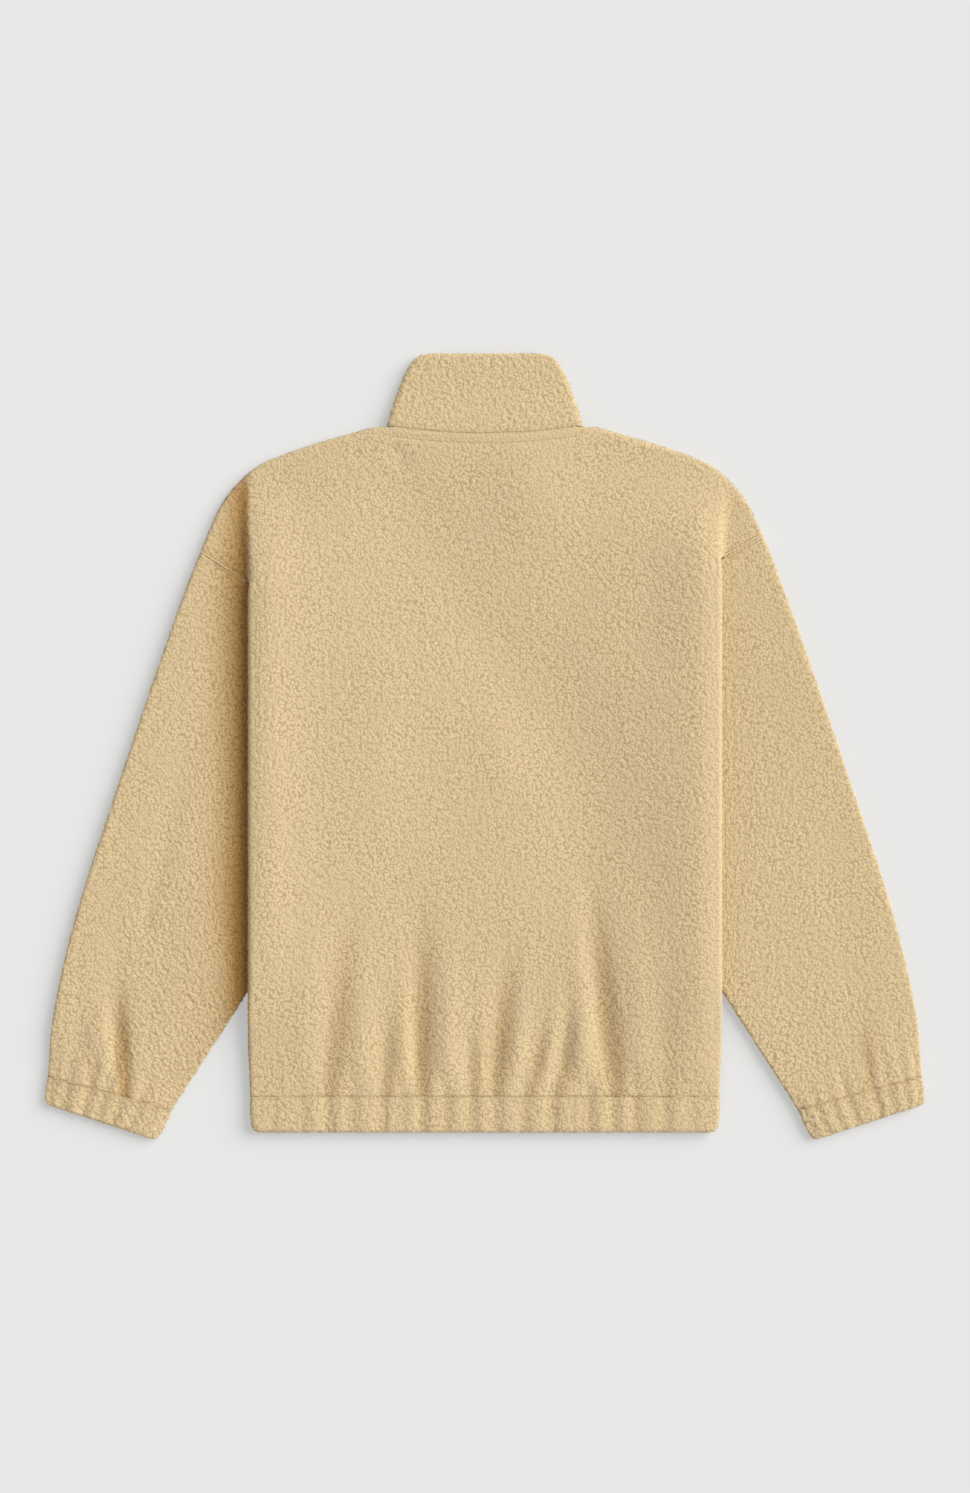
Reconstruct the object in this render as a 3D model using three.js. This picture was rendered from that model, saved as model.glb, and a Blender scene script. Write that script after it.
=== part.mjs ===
// A pile fleece jacket with a stand collar, laid face down on a surface.
// Millimetres. X runs across the garment, Y up its back, Z up from the surface.
// The wearer's left is at -X. The origin is under the middle of the whole outline.

import * as THREE from 'three';

const { lerp, smoothstep } = THREE.MathUtils;

// Driving dimensions
const wall = 4; // one layer of cloth, with its pile
const gap = 0.3; // between pieces at a seam, and between layers
const foldX = 229.4; // centre to the side folds of the body
const curl = 4.45; // outer radius where two close layers turn into each other
const tuck = 16.4; // depth of the cloth turned in under a side fold
const lapTop = 8.4; // two layers with nothing between them
const overLap = lapTop + gap; // where a third layer lies on those two
const bodyTop = 11.2; // upper face of the back, mid panel
const openTop = 10.9; // upper face at the cuff seam
const collarFlatTop = 10.6; // upper face of the collar beyond its neckline
const sleeveCrown = 3.3; // how much the middle of a sleeve stands above its edges
const fadedTop = lapTop + 1.6; // upper face where a side fold has flattened out
const fadedY = 262; // height where it has
const shoulderRoll = 6.5; // radius of the back's edge along the shoulders
const sleeveRoll = 6; // radius of a sleeve's outer edge
const edgeDrop = 0.8; // how much a free edge is flattened
const gatherWidth = 8.5; // half width of a gather of the hem band
const cuffGatherShare = 0.055; // half width of a gather of a cuff, as a share of its width
const hemSeamY = -338.5;
const hemEdgeY = -373.5;
const underarmY = -212;
const neckHalf = 95.5;
const neckY = 302.6; // back neckline at the centre
const neckRise = 7.8; // how much higher it is at its ends
const collarTopY = 380.7;
const frontNeckDrop = 60; // front neckline below the back one

// Outer contour from neck to cuff seam: half width at each height
const outline = [
  { y: 309.6, half: 104 },
  { y: 302.6, half: 132.4 },
  { y: 285.2, half: 188.7 },
  { y: 273.5, half: 216.8 },
  { y: 261.9, half: 232.8 },
  { y: 238.6, half: 252.7 },
  { y: 203.7, half: 269.7 },
  { y: 157.1, half: 288.1 },
  { y: 64, half: 321.1 },
  { y: -52.4, half: 360.4 },
  { y: -145.5, half: 390.9 },
  { y: -215.3, half: 409.3 },
  { y: -273.5, half: 420 },
  { y: -319, half: 423.4 },
];

// Half width of the collar at each height
const collarRings = [
  { y: neckY, half: neckHalf },
  { y: 321, half: 94.8 },
  { y: 334, half: 89.4 },
  { y: 346, half: 84.8 },
  { y: 358, half: 79.4 },
  { y: 368, half: 73.4 },
  { y: 375.5, half: 67.2 },
  { y: 379.2, half: 61.5 },
  { y: collarTopY, half: 55 },
];

// Half width of the hem band at each height
const hemRings = [
  { y: hemSeamY - gap / 2, half: 227.6 },
  { y: -356, half: 227.6 },
  { y: -367.5, half: 226.4 },
  { y: -372, half: 223.5 },
  { y: hemEdgeY, half: 219 },
];

// Dropped shoulder seam, where it leaves the contour and where it meets the side fold,
// and the outer radius of that fold
const sides = [
  { name: 'left', sign: -1, seamTop: 188, seamFold: 159, foldRadius: 5.6 },
  { name: 'right', sign: 1, seamTop: 204.7, seamFold: 182.4, foldRadius: 4.8 },
];

// Troughs of the back, from their foot at the hem seam to their faint upper end
const backCreases = [
  { footX: -147, topX: -125.6, topY: -149, width: 15, depth: 2.0 },
  { footX: -92.6, topX: -89.7, topY: -262, width: 9, depth: 1.6 },
  { footX: -59.7, topX: -55.8, topY: -140, width: 11, depth: 2.2 },
  { footX: -11.2, topX: -10.2, topY: -288, width: 8, depth: 1.4 },
  { footX: 12.1, topX: 27.6, topY: -183, width: 11, depth: 2.1 },
  { footX: 45.1, topX: 63.5, topY: -270, width: 9, depth: 1.6 },
  { footX: 74.2, topX: 94.6, topY: -236, width: 10, depth: 1.8 },
  { footX: 130.5, topX: 104.3, topY: -106, width: 12, depth: 2.4 },
  { footX: 179, topX: 189.6, topY: -115, width: 17, depth: 1.7 },
];

// Broad hollows and swells of the back
const backSwells = [
  { x: -40, y: 190, radius: 75, height: -1.2 },
  { x: 62, y: 55, radius: 70, height: -1.4 },
  { x: 135, y: -50, radius: 60, height: -1.4 },
  { x: 60, y: 240, radius: 60, height: 1.2 },
  { x: -90, y: 30, radius: 80, height: 1.4 },
  { x: -170, y: 125, radius: 55, height: 1.0 },
];

// Gathers of the hem band, across its width
const hemGathers = [
  { x: -202, depth: 1.3 },
  { x: -174, depth: 1.2 },
  { x: -149, depth: 2.0 },
  { x: -126, depth: 1.3 },
  { x: -96.5, depth: 1.8 },
  { x: -77, depth: 0.9 },
  { x: -57.7, depth: 2.1 },
  { x: -35.4, depth: 1.5 },
  { x: -10.2, depth: 1.8 },
  { x: 13.1, depth: 1.7 },
  { x: 40.3, depth: 1.6 },
  { x: 68.4, depth: 2.0 },
  { x: 103.3, depth: 1.9 },
  { x: 127.6, depth: 2.2 },
  { x: 147.9, depth: 2.2 },
  { x: 177, depth: 1.7 },
  { x: 203, depth: 0.9 },
];

// Troughs of the sleeves, with their foot at the cuff seam; x is measured outwards
const sleeveCreases = {
  left: [
    { footX: 350, footY: -338, topX: 346.8, topY: -186, width: 9, depth: 2.4 },
    { footX: 378, footY: -331, topX: 392.4, topY: -248, width: 9, depth: 1.4 },
    { footX: 325, footY: -345, topX: 328, topY: -308, width: 7, depth: 1.2 },
    { footX: 320, footY: -212, topX: 316, topY: -108, width: 17, depth: 1.3 },
  ],
  right: [
    { footX: 374, footY: -332, topX: 365, topY: -240, width: 10, depth: 1.9 },
    { footX: 346, footY: -339, topX: 347, topY: -305, width: 8, depth: 1.2 },
    { footX: 402, footY: -324, topX: 398, topY: -262, width: 9, depth: 1.0 },
    { footX: 318, footY: -345, topX: 312, topY: -290, width: 8, depth: 1.0 },
  ],
};

// Gathers of the cuffs, as shares of the width from the outer end
const cuffGathers = {
  left: [
    { at: 0.14, depth: 1.6 },
    { at: 0.33, depth: 1.7 },
    { at: 0.46, depth: 1.5 },
    { at: 0.6, depth: 1.6 },
    { at: 0.76, depth: 1.2 },
    { at: 0.9, depth: 1.0 },
  ],
  right: [
    { at: 0.12, depth: 1.1 },
    { at: 0.26, depth: 1.2 },
    { at: 0.39, depth: 1.8 },
    { at: 0.5, depth: 0.9 },
    { at: 0.61, depth: 1.7 },
    { at: 0.75, depth: 1.1 },
    { at: 0.88, depth: 1.3 },
  ],
};

// Cuff: seam and lower edge, each from the outer to the inner end
const cuff = {
  seamOut: [423.4, -319],
  seamIn: [302.2, -351.1],
  edgeOut: [428.3, -345.5],
  edgeIn: [315.5, -382.4],
};

const fleece = new THREE.MeshStandardMaterial({ color: 0xd8bd91, roughness: 0.95, metalness: 0 });

// Small helpers

const bell = (distance, width) => Math.exp(-((distance / width) ** 2));

const mixPoint = (a, b, t) => [lerp(a[0], b[0], t), lerp(a[1], b[1], t)];

const unit = ([x, y]) => [x / Math.hypot(x, y), y / Math.hypot(x, y)];

function along(rows, at, from, to) {
  // straight interpolation of one column of a table, by another
  const step = Math.sign(rows[rows.length - 1][from] - rows[0][from]);
  let i = 1;
  while (i < rows.length - 1 && (at - rows[i][from]) * step > 0) i += 1;
  const a = rows[i - 1];
  const b = rows[i];
  return lerp(a[to], b[to], (at - a[from]) / (b[from] - a[from]));
}

function creaseDepth(x, y, { footX, footY, topX, topY, width, depth }) {
  // soft trough round a line, fading out towards its upper end
  const t = (y - footY) / (topY - footY);
  const line = lerp(footX, topX, t);
  const fade = 1 - smoothstep(t, 0.25, 1.15);
  return depth * bell(x - line, width * lerp(0.8, 1.3, t)) * fade;
}

function gridSolid(outer, inner, closedRound) {
  // one wall between two grids of points: rows of rings, or rows of open strips
  const rows = outer.length;
  const columns = outer[0].length;
  const positions = [...outer.flat(2), ...inner.flat(2)];
  const spans = closedRound ? columns : columns - 1;
  const out = (j, i) => j * columns + (i % columns);
  const into = (j, i) => rows * columns + out(j, i);
  const index = [];
  const quad = (a, b, c, d) => index.push(a, b, c, a, c, d);
  for (let j = 0; j < rows - 1; j += 1) {
    for (let i = 0; i < spans; i += 1) {
      quad(out(j, i), out(j, i + 1), out(j + 1, i + 1), out(j + 1, i));
      quad(into(j, i), into(j + 1, i), into(j + 1, i + 1), into(j, i + 1));
    }
  }
  for (let i = 0; i < spans; i += 1) {
    quad(out(0, i), into(0, i), into(0, i + 1), out(0, i + 1));
    quad(out(rows - 1, i), out(rows - 1, i + 1), into(rows - 1, i + 1), into(rows - 1, i));
  }
  if (!closedRound) {
    for (let j = 0; j < rows - 1; j += 1) {
      quad(out(j, 0), out(j + 1, 0), into(j + 1, 0), into(j, 0));
      quad(out(j, spans), into(j, spans), into(j + 1, spans), out(j + 1, spans));
    }
  }
  const geometry = new THREE.BufferGeometry();
  geometry.setAttribute('position', new THREE.Float32BufferAttribute(positions, 3));
  geometry.setIndex(signedVolume(positions, index) < 0 ? index.reverse() : index);
  geometry.computeVertexNormals();
  return geometry;
}

function signedVolume(positions, index) {
  const corner = (n) => new THREE.Vector3().fromArray(positions, 3 * index[n]);
  let total = 0;
  for (let n = 0; n < index.length; n += 3) {
    total += corner(n).dot(corner(n + 1).cross(corner(n + 2))) / 6;
  }
  return total;
}

function tubeRing({ line, out, inn, top, upper, lower, edges, inset }) {
  // one ring of a flattened tube: upper layer, one edge, lower layer, other edge.
  // line(s) is the plan between the two edge centres, out and inn the edges there
  const ring = [];
  const place = ([x, y], z) => ring.push([x, y, z]);
  const round = ({ centre, away, radius }, high, from) => {
    for (let k = 1; k < edges; k += 1) {
      const angle = from + (Math.PI * k) / edges;
      const reach = (radius - inset) * Math.sin(angle);
      const middle = high / 2;
      const z = middle + (middle - inset) * Math.cos(angle);
      place([centre[0] + away[0] * Math.abs(reach), centre[1] + away[1] * Math.abs(reach)], z);
    }
  };
  for (const s of upper) place(line(s), top(s) - inset);
  round(inn, top(1), 0);
  for (const s of [...lower].reverse()) place(line(s), inset);
  round(out, top(0), Math.PI);
  return ring;
}

const steps = (count) => Array.from({ length: count + 1 }, (_, i) => i / count);

function addPiece(group, name, geometry) {
  const mesh = new THREE.Mesh(geometry, fleece.clone());
  mesh.name = name;
  group.add(mesh);
}

// Heights shared by neighbouring pieces

function hemTop(x) {
  const waves = hemGathers.reduce((sum, g) => sum + g.depth * bell(x - g.x, gatherWidth), 0);
  const side = smoothstep(Math.abs(x), 195, foldX - curl);
  return lerp(bodyTop + 0.6 - waves, 2 * curl, side);
}

function sideBottom(y) {
  // underside of the cloth tucked in at a side fold: on the sleeve, then on the surface
  return overLap * smoothstep(y, -300, -241);
}

function rollRadius(y, side) {
  // outer radius of a side fold, whose top comes down evenly from the sleeve to the hem
  const high = lerp(2 * curl, overLap + 2 * side.foldRadius, smoothstep(y, hemSeamY, underarmY));
  return (high - sideBottom(y)) / 2;
}

function sideTop(y, side) {
  // top of a side fold, which flattens out towards the shoulder
  const folded = sideBottom(y) + 2 * rollRadius(y, side);
  return lerp(folded, fadedTop, smoothstep(y, side.seamFold - 14, fadedY));
}

function innerEdgeDistance(out, y) {
  // plan distance from the free inner edge of a sleeve
  const [dx, dy] = unit([cuff.seamIn[0] - (foldX - tuck), cuff.seamIn[1] - underarmY]);
  return (out - (foldX - tuck)) * -dy + (y - underarmY) * dx;
}

function sleeveTop(out, y, creases) {
  // upper face of the cloth outside the side folds; out is measured from the centre
  const clear = Math.min(out - foldX - 1, innerEdgeDistance(out, y) - curl);
  const crown = sleeveCrown * smoothstep(clear, 0, 60);
  const folds = creases.reduce((sum, c) => sum + creaseDepth(out, y, c), 0);
  const low = smoothstep(clear, 0, 14);
  return Math.max(lapTop + crown - folds * low, lapTop + 0.05 * low);
}

function backTop(x, y) {
  const out = Math.abs(x);
  const side = sides[x < 0 ? 0 : 1];
  let middle = bodyTop;
  for (const c of backCreases) middle -= creaseDepth(x, y, { ...c, footY: hemSeamY });
  for (const s of backSwells) middle += s.height * bell(Math.hypot(x - s.x, y - s.y), s.radius);
  middle = lerp(hemTop(x), middle, smoothstep(y, hemSeamY, -300));
  middle = Math.max(middle, lapTop + 0.2);
  const nearFold = smoothstep(out, 130, foldX - side.foldRadius - 1);
  const body = lerp(middle, sideTop(y, side), nearFold);
  return lerp(body, sleeveTop(out, y, []), smoothstep(out, foldX - 3, foldX + 7));
}

function neckLine(x) {
  return neckY + neckRise * Math.min(1, (x / neckHalf) ** 2);
}

// Seams in plan

function armhole({ seamTop, seamFold }) {
  // from the contour down the visible seam, round under the side fold, to the underarm
  const inner = foldX - tuck;
  return [
    [along(outline, seamTop, 'y', 'half'), seamTop],
    [foldX + 2.6, seamFold + 1],
    [foldX + 2, seamFold - 13],
    [foldX - 5, seamFold - 24],
    [foldX - 13, seamFold - 38],
    [inner, seamFold - 58],
    [inner, lerp(seamFold - 58, underarmY, 0.35)],
    [inner, lerp(seamFold - 58, underarmY, 0.7)],
    [inner, underarmY + 17],
    [inner, underarmY],
  ];
}

function onLine(points, t) {
  // point at a share of the whole length of a run of straight pieces
  const lengths = points.slice(1).map((p, i) => Math.hypot(p[0] - points[i][0], p[1] - points[i][1]));
  let left = t * lengths.reduce((a, b) => a + b, 0);
  let i = 0;
  while (i < lengths.length - 1 && left > lengths[i]) left -= lengths[i++];
  return mixPoint(points[i], points[i + 1], left / lengths[i]);
}

function shares(points) {
  // share of the whole length at each point
  const sums = [0];
  points.slice(1).forEach((p, i) => {
    sums.push(sums[i] + Math.hypot(p[0] - points[i][0], p[1] - points[i][1]));
  });
  return sums.map((sum) => sum / sums[sums.length - 1]);
}

function contourCurve(half, fromY, toY) {
  // smooth contour between two heights, on the side given by the sign of half
  const at = (y) => new THREE.Vector3(half * along(outline, y, 'y', 'half'), y, 0);
  const between = outline.filter(({ y }) => (y - fromY) * (y - toY) < 0).map(({ y }) => y);
  if (fromY < toY) between.reverse();
  return [at(fromY), ...between.map(at), at(toY)];
}

// Back: one panel, rolled down along the shoulders and tucked under at the side folds

const backTopRows = 3;
const curlSteps = 5;
const sideColumns = curlSteps + 1;
const sideMargin = 12;
const bodyColumns = 46;
const backRowHeights = [100, 50, 0, -50, -100, -145, -185, -215, -240, -252, -268, -286, -304, -322];
const neckStations = [-84, -56, -28, 0, 28, 56, 84];

function backOutlineCurve() {
  const [left, right] = sides;
  const neck = neckStations.map((x) => new THREE.Vector3(x, neckLine(x) - gap, 0));
  return new THREE.CatmullRomCurve3(
    [
      ...contourCurve(-1, left.seamTop, outline[0].y),
      ...neck,
      ...contourCurve(1, right.seamTop, outline[0].y).reverse(),
    ].filter((p, i, all) => i === 0 || p.distanceTo(all[i - 1]) > 0.01),
    false,
    'centripetal',
  );
}

function buildBack() {
  const top = backOutlineCurve();
  const length = top.getLength();
  const columns = [];
  for (let k = 0; k < sideColumns; k += 1) columns.push((sideMargin * k) / sideColumns / length);
  const inner = sideMargin / length;
  for (let i = 0; i <= bodyColumns; i += 1) columns.push(lerp(inner, 1 - inner, i / bodyColumns));
  for (let k = sideColumns - 1; k >= 0; k -= 1) columns.push(1 - columns[k]);
  const first = sideColumns;
  const last = sideColumns + bodyColumns;

  const seamWay = sides.map((side) => {
    const [from, to] = armhole(side);
    const [dx, dy] = unit([to[0] - from[0], to[1] - from[1]]);
    return [side.sign * dx, dy];
  });
  const inward = (u) => {
    const tangent = top.getTangentAt(u);
    const normal = [tangent.y, -tangent.x];
    const near = Math.min(u, 1 - u) * length;
    const way = seamWay[u < 0.5 ? 0 : 1];
    return unit(mixPoint(way, normal, smoothstep(near, 0, 45)));
  };

  const edgePoint = (u, row, inset) => {
    // rows next to the contour: turned down to the front along the shoulders, flat at the neck
    const p = top.getPointAt(u);
    const n = inward(u);
    const turn = smoothstep(Math.abs(p.x), neckHalf - 8, neckHalf + 5);
    const angle = (row / backTopRows) * (Math.PI / 2);
    const start = inset * turn;
    const reach = start + (shoulderRoll - start) * (1 - Math.cos(angle));
    const x = p.x + n[0] * reach;
    const y = p.y + n[1] * reach;
    const full = backTop(x, y) - inset;
    const rim = wall + gap;
    return [x, y, lerp(full, rim + (full - rim) * Math.sin(angle), turn)];
  };

  const rowsAt = ({ seamTop, seamFold }, way) => {
    // heights of the rows along one side
    const start = seamTop + way[1] * shoulderRoll;
    const seam = [1 / 3, 2 / 3, 1].map((t) => lerp(start, seamFold + 1, t));
    const turn = [-4, -9, -14, -30].map((down) => seamFold + down);
    return [start, ...seam, ...turn, ...backRowHeights, hemSeamY + gap / 2];
  };
  const heights = sides.map((side, i) => rowsAt(side, seamWay[i]));
  const rowCount = heights[0].length;

  const sidePoint = (sideIndex, row, k, inset) => {
    // k runs from the body to the sewn edge
    const side = sides[sideIndex];
    const y = heights[sideIndex][row];
    const seam = armhole(side);
    const cornerU = sideIndex === 0 ? columns[sideColumns - k] : 1 - columns[sideColumns - k];
    const edge = (u) => edgePoint(u, backTopRows, 0);
    const base = edge(cornerU);
    const tip = edge(sideIndex === 0 ? 0 : 1);
    const turned = smoothstep(y, seam[1][1], heights[sideIndex][0]);
    const flatX = y > seam[1][1]
      ? lerp(seam[1][0], Math.abs(tip[0]), (y - seam[1][1]) / (heights[sideIndex][0] - seam[1][1]))
      : foldX + 1.5;
    const back = (sideMargin * (sideColumns - k)) / sideColumns;
    const shift = mixPoint([-back * side.sign, 0], [base[0] - tip[0], base[1] - tip[1]], turned);
    const flat = [side.sign * flatX + shift[0], y + shift[1]];
    const flatZ = backTop(flat[0], flat[1]) - inset;

    const angle = (Math.PI * Math.min(k, curlSteps)) / curlSteps;
    const radius = rollRadius(y, side);
    const swing = radius - inset;
    const bottom = sideBottom(y);
    const rolled = k <= curlSteps
      ? [foldX - radius + swing * Math.sin(angle), bottom + radius + swing * Math.cos(angle)]
      : [foldX - tuck + gap, bottom + inset];
    const roll = smoothstep(-y, -(side.seamFold + 4), -(side.seamFold - 13));
    return [
      lerp(flat[0], side.sign * rolled[0], roll),
      lerp(flat[1], y, roll),
      lerp(flatZ, rolled[1], roll),
    ];
  };

  const bodyPoint = (row, i, inset) => {
    // between the two sides, the contour and the hem
    const u = (i - first) / bodyColumns;
    const left = sidePoint(0, row, 0, 0);
    const right = sidePoint(1, row, 0, 0);
    const topLeft = sidePoint(0, 0, 0, 0);
    const topRight = sidePoint(1, 0, 0, 0);
    const hemLeft = sidePoint(0, rowCount - 1, 0, 0);
    const hemRight = sidePoint(1, rowCount - 1, 0, 0);
    const v = (topLeft[1] - left[1] + topRight[1] - right[1])
      / (topLeft[1] - hemLeft[1] + topRight[1] - hemRight[1]);
    const onTop = edgePoint(columns[i], backTopRows, 0);
    const onHem = mixPoint(hemLeft, hemRight, u);
    const across = mixPoint(left, right, u);
    const corners = mixPoint(mixPoint(topLeft, topRight, u), onHem, v);
    const x = lerp(onTop[0], onHem[0], v) + across[0] - corners[0];
    const y = lerp(onTop[1], onHem[1], v) + across[1] - corners[1];
    return [x, y, backTop(x, y) - inset];
  };

  const grid = (inset) => {
    const rows = [];
    for (let row = 0; row < backTopRows; row += 1) {
      rows.push(columns.map((u) => edgePoint(u, row, inset)));
    }
    for (let row = 0; row < rowCount; row += 1) {
      rows.push(columns.map((u, i) => {
        if (i < first) return sidePoint(0, row, first - i, inset);
        if (i > last) return sidePoint(1, row, i - last, inset);
        return row === 0 ? edgePoint(u, backTopRows, inset) : bodyPoint(row, i, inset);
      }));
    }
    return rows;
  };
  return gridSolid(grid(0), grid(wall), false);
}

// Fronts: flat on the surface, meeting at the centre

const frontNeckShares = [0, 0.25, 0.5, 0.75, 0.9, 1];
const collarRadius = 6;

function frontNeck(share) {
  // front neckline, a share of the way from the centre to the side
  const x = lerp(gap / 2, neckHalf - collarRadius, share);
  return [x, neckLine(x) - frontNeckDrop * (1 - share ** 2)];
}

function buildFront(side) {
  const seam = armhole(side).slice(0, -1);
  const shoulder = contourCurve(1, outline[0].y, side.seamTop).map((p) => [p.x, p.y]);
  const points = [
    ...frontNeckShares.map(frontNeck).map(([x, y]) => [x, y - gap]),
    ...shoulder,
    ...seam.slice(1),
    [foldX - tuck, hemSeamY + gap / 2],
    [gap / 2, hemSeamY + gap / 2],
  ];
  const shape = new THREE.Shape(points.map(([x, y]) => new THREE.Vector2(side.sign * x, y)));
  return new THREE.ExtrudeGeometry(shape, { depth: wall, bevelEnabled: false });
}

// Sleeves: flattened tubes from the armhole to the cuff seam

const sleeveRings = [0, 0.05, 0.11, 0.19, 0.28, 0.38, 0.49, 0.6, 0.7, 0.79, 0.87, 0.94, 1];
const sleeveUpper = 24;
const edgeSteps = 4;

function cuffTop(side, share) {
  // height across the cuff seam, shared by the sleeve and the cuff
  const depths = cuffGathers[side.name].map((g) => g.depth * bell(share - g.at, cuffGatherShare));
  const waves = depths.reduce((a, b) => a + b, 0);
  const ends = smoothstep(share, 0, 0.1) * smoothstep(1 - share, 0, 0.1);
  return lerp(2 * curl, openTop - waves, ends);
}

function buildSleeve(side) {
  const shift = ([x, y]) => [x + gap, y - gap];
  const seam = armhole(side).map(shift);
  const seamShares = shares(seam);
  const curve = new THREE.CatmullRomCurve3(
    contourCurve(1, side.seamTop, cuff.seamOut[1]),
    false,
    'centripetal',
  );
  const seamWay = unit([seam[1][0] - seam[0][0], seam[1][1] - seam[0][1]]);
  const cuffWay = unit([cuff.seamIn[0] - cuff.seamOut[0], cuff.seamIn[1] - cuff.seamOut[1]]);
  const underarm = seam[seam.length - 1];
  const innerWay = unit([cuff.seamIn[0] - underarm[0], cuff.seamIn[1] - underarm[1]]);
  const innerNormal = [-innerWay[1], innerWay[0]];

  const outerEdge = (t) => {
    const p = curve.getPointAt(t);
    const tangent = curve.getTangentAt(t);
    let normal = [tangent.y, -tangent.x];
    normal = unit(mixPoint(seamWay, normal, smoothstep(t, 0, 0.12)));
    normal = unit(mixPoint(normal, cuffWay, smoothstep(t, 0.9, 1)));
    const edge = t === 0 ? [p.x + gap / 2, p.y - gap] : [p.x, p.y]; // clear of the back
    const radius = lerp(sleeveRoll, curl, smoothstep(t, 0.8, 1));
    return {
      centre: [edge[0] + normal[0] * radius, edge[1] + normal[1] * radius],
      away: [-normal[0], -normal[1]],
      radius,
    };
  };
  const innerEdge = (t) => {
    const edge = mixPoint(underarm, cuff.seamIn, t);
    const turned = smoothstep(t, 0.85, 1);
    const normal = unit(mixPoint(innerNormal, [-cuffWay[0], -cuffWay[1]], turned));
    return {
      centre: [edge[0] + normal[0] * curl, edge[1] + normal[1] * curl],
      away: [-normal[0], -normal[1]],
      radius: curl,
    };
  };

  const seamStart = outerEdge(0).centre;
  const seamEnd = innerEdge(0).centre;
  const armholeLine = (s) => {
    if (s === 0) return seamStart;
    return s === 1 ? seamEnd : onLine(seam, s);
  };
  const cuffStart = outerEdge(1).centre;
  const cuffEnd = innerEdge(1).centre;

  const ring = (t, inset) => {
    const out = outerEdge(t);
    const inn = innerEdge(t);
    const line = (s) => {
      const a = armholeLine(s);
      const k = mixPoint(cuffStart, cuffEnd, s);
      const across = mixPoint(out.centre, inn.centre, s);
      const corners = mixPoint(
        mixPoint(seamStart, seamEnd, s),
        mixPoint(cuffStart, cuffEnd, s),
        t,
      );
      return [
        lerp(a[0], k[0], t) + across[0] - corners[0],
        lerp(a[1], k[1], t) + across[1] - corners[1],
      ];
    };
    const top = (s) => {
      const [x, y] = line(s);
      const free = sleeveTop(x, y, sleeveCreases[side.name]);
      return lerp(free, cuffTop(side, s), smoothstep(t, 0.86, 1));
    };
    const lower = [0, ...seamShares.slice(1, -1), 1];
    const points = tubeRing({
      line, out, inn, top, lower, inset, edges: edgeSteps, upper: steps(sleeveUpper),
    });
    return points.map(([x, y, z]) => [side.sign * x, y, z]);
  };
  return gridSolid(
    sleeveRings.map((t) => ring(t, 0)),
    sleeveRings.map((t) => ring(t, wall)),
    true,
  );
}

// Cuffs: short gathered tubes

const cuffRows = [
  { t: 0, drawIn: 0, drop: 0 },
  { t: 0.35, drawIn: 0, drop: 0.5 },
  { t: 0.72, drawIn: 0.4, drop: 0.6 },
  { t: 0.92, drawIn: 2.4, drop: 0.7 },
  { t: 1, drawIn: 5.5, drop: 1.2 },
];

function buildCuff(side) {
  const ring = ({ t, drawIn, drop }, inset) => {
    const from = mixPoint(cuff.seamOut, cuff.edgeOut, t);
    const to = mixPoint(cuff.seamIn, cuff.edgeIn, t);
    const way = unit([to[0] - from[0], to[1] - from[1]]);
    const down = [-way[1] * gap, way[0] * gap];
    const shift = ([x, y], sign) => [
      x + sign * way[0] * (curl + drawIn) + down[0] * (1 - t),
      y + sign * way[1] * (curl + drawIn) + down[1] * (1 - t),
    ];
    const start = shift(from, 1);
    const end = shift(to, -1);
    const points = tubeRing({
      line: (s) => mixPoint(start, end, s),
      out: { centre: start, away: [-way[0], -way[1]], radius: curl },
      inn: { centre: end, away: way, radius: curl },
      top: (s) => Math.max(cuffTop(side, s) - drop, 2 * wall + gap),
      upper: steps(26),
      lower: steps(4),
      edges: edgeSteps,
      inset,
    });
    return points.map(([x, y, z]) => [side.sign * x, y, z]);
  };
  return gridSolid(
    cuffRows.map((row) => ring(row, 0)),
    cuffRows.map((row) => ring(row, wall)),
    true,
  );
}

// Bands that open at the centre front: half rings joined over the top

function openRing({ half, radius, top, upper, lower, upperY, lowerY, inset }) {
  // from the centre front, round one side, over the back and round the other side
  const reach = half - radius;
  const strip = [];
  const layer = (share, sign) => {
    const x = sign * lerp(gap / 2, reach, share);
    strip.push([x, lowerY(x, share), inset]);
  };
  const turn = (sign, k) => {
    const angle = (Math.PI * k) / edgeSteps;
    const high = top(sign * reach);
    const x = sign * (reach + (radius - inset) * Math.sin(angle));
    strip.push([x, upperY(x), high / 2 - (high / 2 - inset) * Math.cos(angle)]);
  };
  for (const share of lower) layer(share, -1);
  for (let k = 1; k < edgeSteps; k += 1) turn(-1, k);
  for (const s of steps(upper)) {
    const x = lerp(-reach, reach, s);
    strip.push([x, upperY(x), top(x) - inset]);
  }
  for (let k = edgeSteps - 1; k > 0; k -= 1) turn(1, k);
  for (const share of [...lower].reverse()) layer(share, 1);
  return strip;
}

function buildHemBand() {
  const ring = ({ y, half }, inset) => openRing({
    half,
    radius: curl,
    top: (x) => Math.max(hemTop(x) - (y === hemEdgeY ? edgeDrop : 0), 2 * wall + gap),
    upper: 84,
    lower: [0, 0.5, 1],
    upperY: () => y,
    lowerY: () => y,
    inset,
  });
  return gridSolid(
    hemRings.map((row) => ring(row, 0)),
    hemRings.map((row) => ring(row, wall)),
    false,
  );
}

function collarTop(x, share) {
  // share 0 at the neckline, 1 at the upper edge
  return lerp(backTop(x, neckLine(x)), collarFlatTop, smoothstep(share, 0, 0.6));
}

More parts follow.
